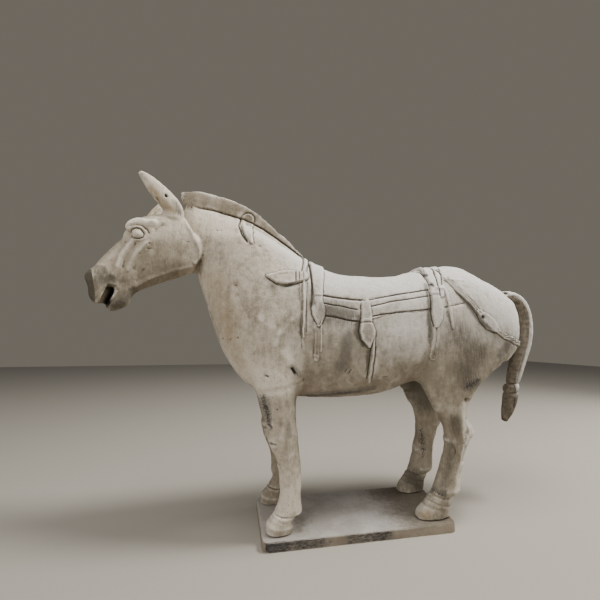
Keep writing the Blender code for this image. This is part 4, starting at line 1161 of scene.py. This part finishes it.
# painted highlight along the lower lip
lip_highlight = soft_step(0.7 - off_line((s, z), LIP_LINE)[0], 0, 0.4) * (z > 104) * (s > 20) * (np.abs(t) > 2.5)
ridge_highlight = np.maximum(soft_step(head_relief, 0.35, 1.0), 0.6 * soft_step(flank_relief, 0.3, 1.1))
ridge_highlight = np.max([ridge_highlight, strap_rim_highlight, lip_highlight], axis=0)
# line and hollow: painted shade and dirt; proud: painted highlight on ridges, rims and the lip
paint(horse, "line", np.maximum(soft_step(-lines, 0.15, 0.75), shade_beside_strap) * (z > 62))
paint(horse, "hollow", np.maximum(soft_step(hollow, 0.02, 0.35), 0.4 * soft_step(-head_relief, 0.35, 0.9)))
paint(horse, "proud", np.maximum(soft_step(-hollow, 0.04, 0.40), ridge_highlight))
print("the deepest hollow is", round(float(hollow.max()), 2), "parts")

# %% [markdown]
# The slip was brushed on from above, so it is thick on the back and thin under the belly. The same share
# also carries painted light: faces turned up are painted lighter; faces turned down, the far legs, the
# fronts of the hind legs, the front and the low part of the flank and the place below the neck carry painted
# shade; the rear edges and the ridges carry a painted highlight. Each row says where it is lighter or,
# below nought, darker.

# %% How thick the slip is, with painted light and shade
head = soft_step(s, -4, 6) * (z > 104)
bridge = np.interp(s, [-10, 20, 27, 35.5, 44], [164, 156, 150, 141, 129])
low_cheek = head * soft_step(bridge - z, 4, 12) * soft_step(147 - z, 0, 6)
mane = soft_step(z - mane_root(x), -0.3, 0.8) * (x > -98) * (x < -26) * (s < 2)
legs = soft_step(66 - z, 0, 10)
chest = soft_step(-x, 26, 34) * soft_step(z, 60, 72) * soft_step(104 - z, 0, 16)
back_edge = soft_step(backward, 0.25 - 0.4 * (z < 60), 0.75 - 0.4 * (z < 60))
hind_part = soft_step(x, 34, 44) * soft_step(96 - z, 0, 14)
slip_and_painted_light = {
    "everywhere": 0.20,
    "up to the back": 0.60 * soft_step(z, 66, 122),
    # painted light: faces turned up are lighter, and faces turned down lie in painted shade
    "faces turned up": 0.25 * soft_step(up, 0.1, 0.9),
    "faces turned down": -0.35 * soft_step(-up, 0.1, 0.7) * (1 - 0.6 * legs) * (1 - chest),
    "legs": legs * (0.10 + 0.20 * (x < 0)),
    # painted shade on the far fore leg
    "right fore leg": -1.0 * legs * (x < 0) * far,
    "left fore cannon": 0.30 * (x < 0) * near * soft_step(34 - z, 0, 8),
    "fore knees": -0.15 * (x < 0) * soft_step(50 - np.abs(z - 44), 40, 50),
    "fore hooves": -0.30 * (x < 0) * soft_step(8 - z, 0, 2),
    "hind hooves": -0.35 * (x > 20) * soft_step(12 - z, 0, 3),
    # painted highlight on the hind legs' rear edges, painted shade on their fronts and on the far hind leg
    "hind part": hind_part * (back_edge - 0.45),
    "right hind leg": -1.2 * hind_part * far,
    "chest": 0.30 * chest,
    "elbow": 0.20 * soft_step(-x, 28, 36) * near * soft_step(z, 62, 70) * soft_step(90 - z, 0, 14),
    # painted shade below the neck
    "below the neck": -0.12 * soft_step(-x, 48, 56) * (z < 150) * (z > 104),
    # painted highlight on the rump's rear edge
    "rear edge of the rump": 0.30 * (z > 90) * back_edge,
    "croup": 0.30 * soft_step(x, 70, 84) * soft_step(z, 96, 104),
    "flank": (0.42 * soft_step(x, 6, 14) * soft_step(44 - x, 0, 8)
              * soft_step(z, 76, 86) * soft_step(106 - z, 0, 8)),
    # painted shade on the low and the front part of the flank
    "lower flank": -0.15 * soft_step(104 - z, 0, 10) * (z > 66) * (x > -30) * (x < 40),
    "front of the flank": (-0.24 * soft_step(34 - x, 0, 30) * soft_step(0.7 - up, 0, 0.4)
                           * soft_step(z, 80, 92) * (s < -4)),
    "upper neck": 0.40 * soft_step(-x, 60, 70) * soft_step(z, 146, 154) * (s < -3),
    "mane": -0.85 * mane,
    "head": -0.10 * head,
    "low cheek": -0.42 * low_cheek,
    "bridge of the nose": (-0.62 * soft_step(s, 4, 10) * soft_step(z, 120, 134)
                           * soft_step(158 - z, 0, 4) * soft_step(up, 0.15, 0.6)),
    # painted highlight on ridges, the straps' rims and the lower lip
    "painted highlight on ridges": 0.70 * ridge_highlight,
}
tan = np.interp(x, [-66, -44, -20, 20, 56, 80, 100], [1.0, 0.85, 0.35, 0.20, 0.45, 0.25, 0.0])
tan += 0.45 * soft_step(100 - z, 0, 34) - 0.6 * soft_step(up, 0.3, 0.9) * (x > -60)
tan -= 0.3 * hind_part * back_edge
paint(horse, "slip_and_light", sum(slip_and_painted_light.values()))
paint(horse, "tan", tan)
print("painted", [a.name for a in horse.data.attributes if a.data_type == "FLOAT"])

# %% [markdown]
# The tail's side that faces the lights on the right is painted paler, a painted highlight, and its root,
# knot, slit and tip carry painted shade. Soot lies in blotches along the slab's front edge, and the slab's
# top carries a painted shadow where the hooves stand and towards its right end.

# %% The tail's and the slab's places
TAIL_SHADE = {
    "root": [(109.6, 120.4, 1.6), (112.2, 117.8, 2.4), (115.6, 117.2, 1.6)],
    "knot": [(108.6, 64.8, 0.9), (108.8, 60.6, 0.9)],
    "slit": [(108.4, 57, 1.1), (107.4, 52, 0.7)],
    "tip": [(102, 44, 1.8), (104, 41, 2.2)],
}
SLAB_SHADOWS = {
    "by the fore hoof": [(-31, -18, 6), (-28, -8, 9)],
    "between the hind hooves": [(30, -12, 10), (48, 4, 16)],
    "right part": [(22, -10, 14), (50, -12, 22)],
}
SOOT_X = [-50, -48, -40, -36, -33, -20, -15, -11, -8, 2, 10, 14, 17]
SOOT = [0, 0.9, 0.8, 0.6, 0.75, 0.55, 0.1, 0.15, 0.6, 0.6, 0.8, 0.5, 0]

x, y, z = in_parts(points_of(tail))
normals = even_normals(tail, 12)
# the side turned back, and high up the side turned up, gets a painted highlight
outward = np.maximum(normals[:, 0], 1.1 * normals[:, 2] * soft_step(z, 98, 108) - 0.3)
paint(tail, "hollow", np.maximum(soft_step(hollowness(tail, 6), 0.02, 0.25), stained((x, z), TAIL_SHADE)))
paint(tail, "lit_side", soft_step(outward, -0.20, 0.25) * soft_step(z, 56, 66))

x, y, z = in_parts(points_of(slab))
_, sideways, up = normals_of(slab).T
# painted shadow of the horse on the slab's top, round the hooves and towards the right end
painted_shadow = np.maximum(0.60 * stained((x, y), SLAB_SHADOWS), 0.75 * soft_step(x, 4, 34)) * soft_step(z, -1.5, -0.5)
paint(slab, "proud", soft_step(-hollowness(slab, 6), 0.03, 0.30))
paint(slab, "painted_shadow", painted_shadow)
paint(slab, "soot", np.interp(x, SOOT_X, SOOT) * soft_step(-sideways, 0.5, 0.9))
# towards the right end the top fades to the sides' darker colour, a painted shade under the hind legs
paint(slab, "top", soft_step(up, 0.4, 0.9) * (1 - 0.9 * soft_step(x, 10, 50)))
print("painted", [a.name for p in (tail, slab) for a in p.data.attributes if a.data_type == "FLOAT"])

# %% [markdown]
# ## Materials
#
# A colour is written as it is seen on a screen and turned to linear light once. One small function adds any
# node, with its settings and its links.

# %% Colours and nodes
MILLIMETRE = 1000
FACTOR, FIRST, SECOND, MIXED = 0, 6, 7, 2


def colour(text):
    """A hex colour as seen on a screen, in linear light."""
    values = [int(text[k:k + 2], 16) / 255 for k in (1, 3, 5)]
    return (*[v / 12.92 if v <= 0.04045 else ((v + 0.055) / 1.055) ** 2.4 for v in values], 1.0)


def add(tree, kind, sockets, **settings):
    """Add a node. A socket's value is a constant or another node's output."""
    new = tree.nodes.new(kind)
    for name, value in settings.items():
        setattr(new, name, value)
    for socket, value in sockets.items():
        if isinstance(value, bpy.types.NodeSocket):
            tree.links.new(value, new.inputs[socket])
        else:
            new.inputs[socket].default_value = value
    return new


def new_material(name, roughness):
    """A material with its tree and its shader, with the weak sheen of clay."""
    material = bpy.data.materials.new(name)
    material.use_nodes = True
    tree = material.node_tree
    shader = tree.nodes["Principled BSDF"]
    shader.inputs["Roughness"].default_value = roughness
    shader.inputs["IOR"].default_value = 1.5
    shader.inputs["Specular IOR Level"].default_value = 0.2
    return material, tree, shader


def stain(tree, below, mask, noise, edge, soft, tint, most):
    """Lay a tint where mask plus noise passes the edge, over a soft width."""
    total = add(tree, "ShaderNodeMath", {0: noise, 1: 0.9, 2: mask}, operation="MULTIPLY_ADD").outputs[0]
    share = add(tree, "ShaderNodeMapRange",
                {"Value": total, "From Min": edge, "From Max": edge + soft, "To Max": most},
                interpolation_type="SMOOTHSTEP").outputs["Result"]
    return add(tree, "ShaderNodeMix", {FACTOR: share, FIRST: below, SECOND: colour(tint)},
               data_type="RGBA").outputs[MIXED]


print("a mid grey in linear light is", round(colour("#808080")[0], 3))

# %% [markdown]
# ### Fired clay with worn cream slip
#
# The clay is earthenware fired brown, and the slip is a thin wash of white clay brushed over it. To the eye
# it is quite matt, cream where the slip is whole, browner where it is rubbed away, and speckled everywhere.
# A row of the table is a noise: how it is stretched, its size in millimetres, its detail and its roughness.
# Noise of 30 mm gives the broad change, 7 mm the worn islands, 9 mm drawn out upwards the runs, and 1.2 mm
# the speckle, which is as fine as shows.

# %% Patterns of the horse's clay
HORSE_NOISES = {
    "broad": ((1, 1, 1), 30, 3, 0.6),
    "islands": ((1, 1, 1), 7, 5, 0.65),
    "runs": ((1, 1, 0.22), 9, 3, 0.6),
    "speckle": ((1, 1, 1), 1.2, 2, 0.7),
    "flakes": ((1, 1, 0.75), 1.7, 3, 0.85),
    "brush": ((1, 1, 0.12), 1.8, 3, 0.6),
    "grain": ((1, 1, 1), 2.4, 4, 0.75),
}
PAINTED = ("black", "bruise", "ochre", "brown", "nose", "mouth", "line", "hollow", "proud", "slip_and_light", "tan")

clay, tree, shader = new_material("fired clay with worn cream slip", 0.86)
place = add(tree, "ShaderNodeTexCoord", {}).outputs["Object"]
noises = {}
for name, (stretch, size, detail, roughness) in HORSE_NOISES.items():
    drawn = add(tree, "ShaderNodeMapping", {"Vector": place, "Scale": stretch}).outputs["Vector"]
    noises[name] = add(tree, "ShaderNodeTexNoise",
                       {"Vector": drawn, "Scale": MILLIMETRE / size, "Detail": detail,
                        "Roughness": roughness}).outputs["Fac"]
painted = {name: add(tree, "ShaderNodeAttribute", {}, attribute_name=name).outputs["Fac"] for name in PAINTED}
print(len(noises), "noises and", len(painted), "painted places")

# %% [markdown]
# The slip covers where its share is high, where the clay stands proud and where the noises are high, and
# less in hollows; the share and the proud places also carry painted highlights, and the hollows painted
# shade. Where it is whole it is cream to white, warmer on the neck and the belly, and paler still on
# ridges, a painted highlight.

# %% Slip over clay
cover = 0.0
for part, weight in ((noises["islands"], 0.42), (noises["runs"], 0.43), (noises["broad"], 0.45),
                     (painted["slip_and_light"], 0.26), (painted["proud"], 0.25), (painted["hollow"], -0.16)):
    cover = add(tree, "ShaderNodeMath", {0: part, 1: weight, 2: cover}, operation="MULTIPLY_ADD").outputs[0]
cover = add(tree, "ShaderNodeMapRange", {"Value": cover, "From Min": 0.50, "From Max": 0.92},
            interpolation_type="SMOOTHSTEP").outputs["Result"]
slip = add(tree, "ShaderNodeMix",
           {FACTOR: painted["slip_and_light"], FIRST: colour("#b1a99a"), SECOND: colour("#dedad5")},
           data_type="RGBA").outputs[MIXED]
warm = add(tree, "ShaderNodeMix",
           {FACTOR: painted["slip_and_light"], FIRST: colour("#a99e8c"), SECOND: colour("#ded3c2")},
           data_type="RGBA").outputs[MIXED]
slip = add(tree, "ShaderNodeMix", {FACTOR: painted["tan"], FIRST: slip, SECOND: warm},
           data_type="RGBA").outputs[MIXED]
# painted highlight: ridges and rims turn nearly white
highlight_share = add(tree, "ShaderNodeMath", {0: painted["proud"], 1: 0.5}, operation="MULTIPLY").outputs[0]
slip = add(tree, "ShaderNodeMix", {FACTOR: highlight_share, FIRST: slip, SECOND: colour("#f1ece4")},
           data_type="RGBA").outputs[MIXED]
under = add(tree, "ShaderNodeMix",
            {FACTOR: painted["tan"], FIRST: colour("#888071"), SECOND: colour("#857a69")},
            data_type="RGBA").outputs[MIXED]
body = add(tree, "ShaderNodeMix", {FACTOR: cover, FIRST: under, SECOND: slip},
           data_type="RGBA").outputs[MIXED]
print("slip laid over", clay.name)

# %% [markdown]
# Over the slip go the stains and the painted shade, each broken up by a noise. Ochre and the grey bruises
# are stains; the brown is partly brown stain and partly painted shade, the hollows and drawn lines are
# partly dirt and partly painted shade, and the nose's band is partly darker clay and partly painted shade.
# A row is a painted place, its noise, where it starts, its soft width, its tint and its most. Then come the
# black of the mouth and the holes, a painted shade, the sharp black chips, small round pits of 4.5 mm
# spacing, and the speckle.

# %% Stains, painted shade, chips and pits
for mask, noise, edge, soft, tint, most in (
        ("ochre", "islands", 0.50, 0.80, "#96805e", 0.60),
        ("bruise", "brush", 0.70, 0.60, "#545350", 0.52),
        ("brown", "brush", 0.50, 0.70, "#4f4a40", 0.80),
        ("hollow", "speckle", 0.68, 0.55, "#4b4336", 0.80),
        ("line", "speckle", 0.70, 0.45, "#453d31", 0.85),
        ("nose", "speckle", 0.50, 0.70, "#4a443a", 0.92)):
    body = stain(tree, body, painted[mask], noises[noise], edge, soft, tint, most)
chips = add(tree, "ShaderNodeMath", {0: noises["flakes"], 1: 2.4, 2: painted["black"]},
            operation="MULTIPLY_ADD").outputs[0]
chips = add(tree, "ShaderNodeMapRange",
            {"Value": chips, "From Min": 1.93, "From Max": 2.13, "To Max": 0.82}).outputs["Result"]
pits = add(tree, "ShaderNodeTexVoronoi", {"Vector": place, "Scale": MILLIMETRE / 4.5})
pits = add(tree, "ShaderNodeMath", {0: pits.outputs["Color"], 1: 0.22, 2: pits.outputs["Distance"]},
           operation="MULTIPLY_ADD").outputs[0]
pits = add(tree, "ShaderNodeMapRange",
           {"Value": pits, "From Min": 0.15, "From Max": 0.20, "To Min": 0.65,
            "To Max": 0.0}).outputs["Result"]
specks = add(tree, "ShaderNodeMapRange",
             {"Value": noises["speckle"], "From Min": 0.60, "From Max": 0.72, "To Max": 0.30},
             interpolation_type="SMOOTHSTEP").outputs["Result"]
# the mouth's black is painted shade inside the mouth and the holes
for share, tint in ((painted["mouth"], "#0b0a07"), (chips, "#343332"),
                    (pits, "#564e41"), (specks, "#6e6453")):
    body = add(tree, "ShaderNodeMix", {FACTOR: share, FIRST: body, SECOND: colour(tint)},
               data_type="RGBA").outputs[MIXED]
print("stains, chips and pits on", clay.name)

# %% [markdown]
# Last, a fine tone that follows the brush makes the colour uneven, and the same relief raises the surface
# by fractions of a millimetre, so a raking light shows it.

# %% Tone and relief of the horse's clay
both = add(tree, "ShaderNodeMath", {0: noises["brush"], 1: 0.7, 2: noises["grain"]},
           operation="MULTIPLY_ADD").outputs[0]
tone = add(tree, "ShaderNodeMapRange",
           {"Value": both, "From Min": 0.60, "From Max": 1.10, "To Min": 0.84,
            "To Max": 1.12}).outputs["Result"]
body = add(tree, "ShaderNodeMix", {FACTOR: 1.0, FIRST: body, SECOND: tone}, data_type="RGBA",
           blend_type="MULTIPLY").outputs[MIXED]
coarse = add(tree, "ShaderNodeBump",
             {"Strength": 0.6, "Distance": 0.0012, "Height": noises["islands"]}).outputs["Normal"]
bump = add(tree, "ShaderNodeBump",
           {"Strength": 0.8, "Distance": 0.0007, "Height": both, "Normal": coarse}).outputs["Normal"]
tree.links.new(body, shader.inputs["Base Color"])
tree.links.new(bump, shader.inputs["Normal"])
horse.data.materials.append(clay)
print("material:", clay.name)

# %% [markdown]
# ### Browner clay of the tail
#
# The tail's slip is thinner, so to the eye it is matt and browner than the rump. Its side that faces the
# lights is painted pale, a painted highlight, its other side darker, a painted shade, and its hollows carry
# painted shade too. Its islands are 6 mm and its speckle 1.1 mm.

# %% The tail's clay
tail_clay, tree, shader = new_material("brown fired clay with thin slip", 0.88)
place = add(tree, "ShaderNodeTexCoord", {}).outputs["Object"]
islands = add(tree, "ShaderNodeTexNoise", {"Vector": place, "Scale": MILLIMETRE / 6, "Detail": 5,
                                           "Roughness": 0.65}).outputs["Fac"]
speckle = add(tree, "ShaderNodeTexNoise", {"Vector": place, "Scale": MILLIMETRE / 1.1, "Detail": 2,
                                           "Roughness": 0.7}).outputs["Fac"]
hollows = add(tree, "ShaderNodeAttribute", {}, attribute_name="hollow").outputs["Fac"]
lit_side = add(tree, "ShaderNodeAttribute", {}, attribute_name="lit_side").outputs["Fac"]
cover = add(tree, "ShaderNodeMapRange", {"Value": islands, "From Min": 0.36, "From Max": 0.66},
            interpolation_type="SMOOTHSTEP").outputs["Result"]
# painted highlight on the lit side, painted shade on the other
slip = add(tree, "ShaderNodeMix", {FACTOR: lit_side, FIRST: colour("#7c7366"), SECOND: colour("#dad7d2")},
           data_type="RGBA").outputs[MIXED]
body = add(tree, "ShaderNodeMix", {FACTOR: lit_side, FIRST: colour("#5f574b"), SECOND: colour("#c6c1b8")},
           data_type="RGBA").outputs[MIXED]
body = add(tree, "ShaderNodeMix", {FACTOR: cover, FIRST: body, SECOND: slip}, data_type="RGBA").outputs[MIXED]
# painted shade in the tail's hollows
body = stain(tree, body, hollows, speckle, 0.7, 0.4, "#3f372b", 0.7)
bump = add(tree, "ShaderNodeBump", {"Strength": 0.6, "Distance": 0.0006, "Height": islands}).outputs["Normal"]
tree.links.new(body, shader.inputs["Base Color"])
tree.links.new(bump, shader.inputs["Normal"])
tail.data.materials.append(tail_clay)
print("material:", tail_clay.name)

# %% [markdown]
# ### Bare clay of the slab
#
# The slab never had slip. To the eye it is grey brown and matt with a sandy surface, sooty along its front
# side, and paler where its rim is rubbed. Its top carries a painted shadow round the hooves and towards its
# right end. Noise of 34 mm gives the broad change, 6 mm the blotches, and 1.2 mm the sand.

# %% The slab's clay
SLAB_NOISES = {
    "broad": ((1, 1, 1), 34, 3, 0.6),
    "islands": ((1, 1, 1), 6, 5, 0.65),
    "speckle": ((1, 1, 1), 1.2, 2, 0.7),
    "smears": ((0.35, 1, 1), 2.2, 4, 0.7),
}

slab_clay, tree, shader = new_material("bare grey brown fired clay", 0.9)
place = add(tree, "ShaderNodeTexCoord", {}).outputs["Object"]
noises = {}
for name, (stretch, size, detail, roughness) in SLAB_NOISES.items():
    drawn = add(tree, "ShaderNodeMapping", {"Vector": place, "Scale": stretch}).outputs["Vector"]
    noises[name] = add(tree, "ShaderNodeTexNoise",
                       {"Vector": drawn, "Scale": MILLIMETRE / size, "Detail": detail,
                        "Roughness": roughness}).outputs["Fac"]
proud, painted_shadow, soot, top = (add(tree, "ShaderNodeAttribute", {}, attribute_name=name).outputs["Fac"]
                             for name in ("proud", "painted_shadow", "soot", "top"))

blotch = add(tree, "ShaderNodeMapRange", {"Value": noises["broad"], "From Min": 0.38, "From Max": 0.64},
             interpolation_type="SMOOTHSTEP").outputs["Result"]
sides = add(tree, "ShaderNodeMix", {FACTOR: blotch, FIRST: colour("#85796a"), SECOND: colour("#978c7c")},
            data_type="RGBA").outputs[MIXED]
upper = add(tree, "ShaderNodeMix", {FACTOR: blotch, FIRST: colour("#a7a19a"), SECOND: colour("#b7b2ac")},
            data_type="RGBA").outputs[MIXED]
body = add(tree, "ShaderNodeMix", {FACTOR: top, FIRST: sides, SECOND: upper}, data_type="RGBA").outputs[MIXED]
sand = add(tree, "ShaderNodeMapRange", {"Value": noises["speckle"], "From Min": 0.3, "From Max": 0.7,
                                        "To Min": 0.86, "To Max": 1.1}).outputs["Result"]
body = add(tree, "ShaderNodeMix", {FACTOR: 1.0, FIRST: body, SECOND: sand}, data_type="RGBA",
           blend_type="MULTIPLY").outputs[MIXED]
body = stain(tree, body, proud, noises["islands"], 0.65, 0.4, "#b8b0a2", 0.6)
# painted shadow of the horse on the slab's top
body = stain(tree, body, painted_shadow, noises["islands"], 0.45, 0.9, "#5b5345", 0.75)
smears = add(tree, "ShaderNodeMath", {0: noises["smears"], 1: 3.0, 2: -1.0},
             operation="MULTIPLY_ADD").outputs[0]
film = add(tree, "ShaderNodeMath", {0: soot, 1: 0.68}, operation="MULTIPLY").outputs[0]
body = add(tree, "ShaderNodeMix", {FACTOR: film, FIRST: body, SECOND: colour("#5c5b59")},
           data_type="RGBA").outputs[MIXED]
body = stain(tree, body, soot, smears, 0.70, 0.80, "#2f2f32", 0.88)
bump = add(tree, "ShaderNodeBump",
           {"Strength": 0.7, "Distance": 0.0007, "Height": noises["speckle"]}).outputs["Normal"]
tree.links.new(body, shader.inputs["Base Color"])
tree.links.new(bump, shader.inputs["Normal"])
slab.data.materials.append(slab_clay)
print("material:", slab_clay.name)

# %% [markdown]
# ## The studio
#
# The floor is flat and pale. Its matt paint gives the eye a soft shadow under the slab and a little light
# from below. It isn't part of the object.

# %% The floor
FLOOR_HALF = 3.0

mesh = bmesh.new()
bmesh.ops.create_grid(mesh, x_segments=1, y_segments=1, size=FLOOR_HALF)
floor = new_object("studio_floor", mesh)
floor_paint, _, shader = new_material("pale painted floor", 0.9)
shader.inputs["Base Color"].default_value = colour("#aca69c")
floor.data.materials.append(floor_paint)
print("floor", 2 * FLOOR_HALF, "m wide")

# %% [markdown]
# The camera sees a plain grey brown backdrop, while the clay gets a weak pale light from all around.

# %% The backdrop
world = bpy.data.worlds.new("studio")
world.use_nodes = True
bpy.context.scene.world = world
tree = world.node_tree
background = tree.nodes["Background"]
background.inputs["Color"].default_value = colour("#b8b6b2")
background.inputs["Strength"].default_value = 0.30
seen = add(tree, "ShaderNodeBackground", {"Color": colour("#6f6a61"), "Strength": 1.0}).outputs[0]
ray = add(tree, "ShaderNodeLightPath", {}).outputs["Is Camera Ray"]
both = add(tree, "ShaderNodeMixShader", {0: ray, 1: background.outputs[0], 2: seen}).outputs[0]
tree.links.new(both, tree.nodes["World Output"].inputs["Surface"])
print("backdrop:", world.name)

# %% [markdown]
# The key light stands high on the right, another hangs above, a low one on the right draws the rear edges,
# and a weak fill comes from the front left. All are round and soft. A row is a light's place, its width in
# metres, its power in watts and its tint.

# %% The lights
HORSE_MIDDLE = Vector((0, 0, 0.24))
LIGHTS = {
    "key": ((0.80, -0.22, 1.50), 0.40, 28.5, "#fffdf8"),
    "top": ((-0.30, -0.45, 1.65), 0.90, 12.0, "#fffdf8"),
    "side": ((1.45, 0.10, 0.50), 0.60, 8.0, "#fffdf8"),
    "fill": ((-1.84, -2.00, 0.66), 1.20, 28.5, "#fdfaf6"),
}

for name, (place, size, power, tint) in LIGHTS.items():
    data = bpy.data.lights.new(name, "AREA")
    data.shape = "DISK"
    data.size = size
    data.energy = power
    data.color = colour(tint)[:3]
    light = bpy.data.objects.new(name, data)
    light.location = place
    light.rotation_euler = (HORSE_MIDDLE - light.location).to_track_quat("-Z", "Y").to_euler()
    bpy.context.scene.collection.objects.link(light)
print("lights:", list(LIGHTS))
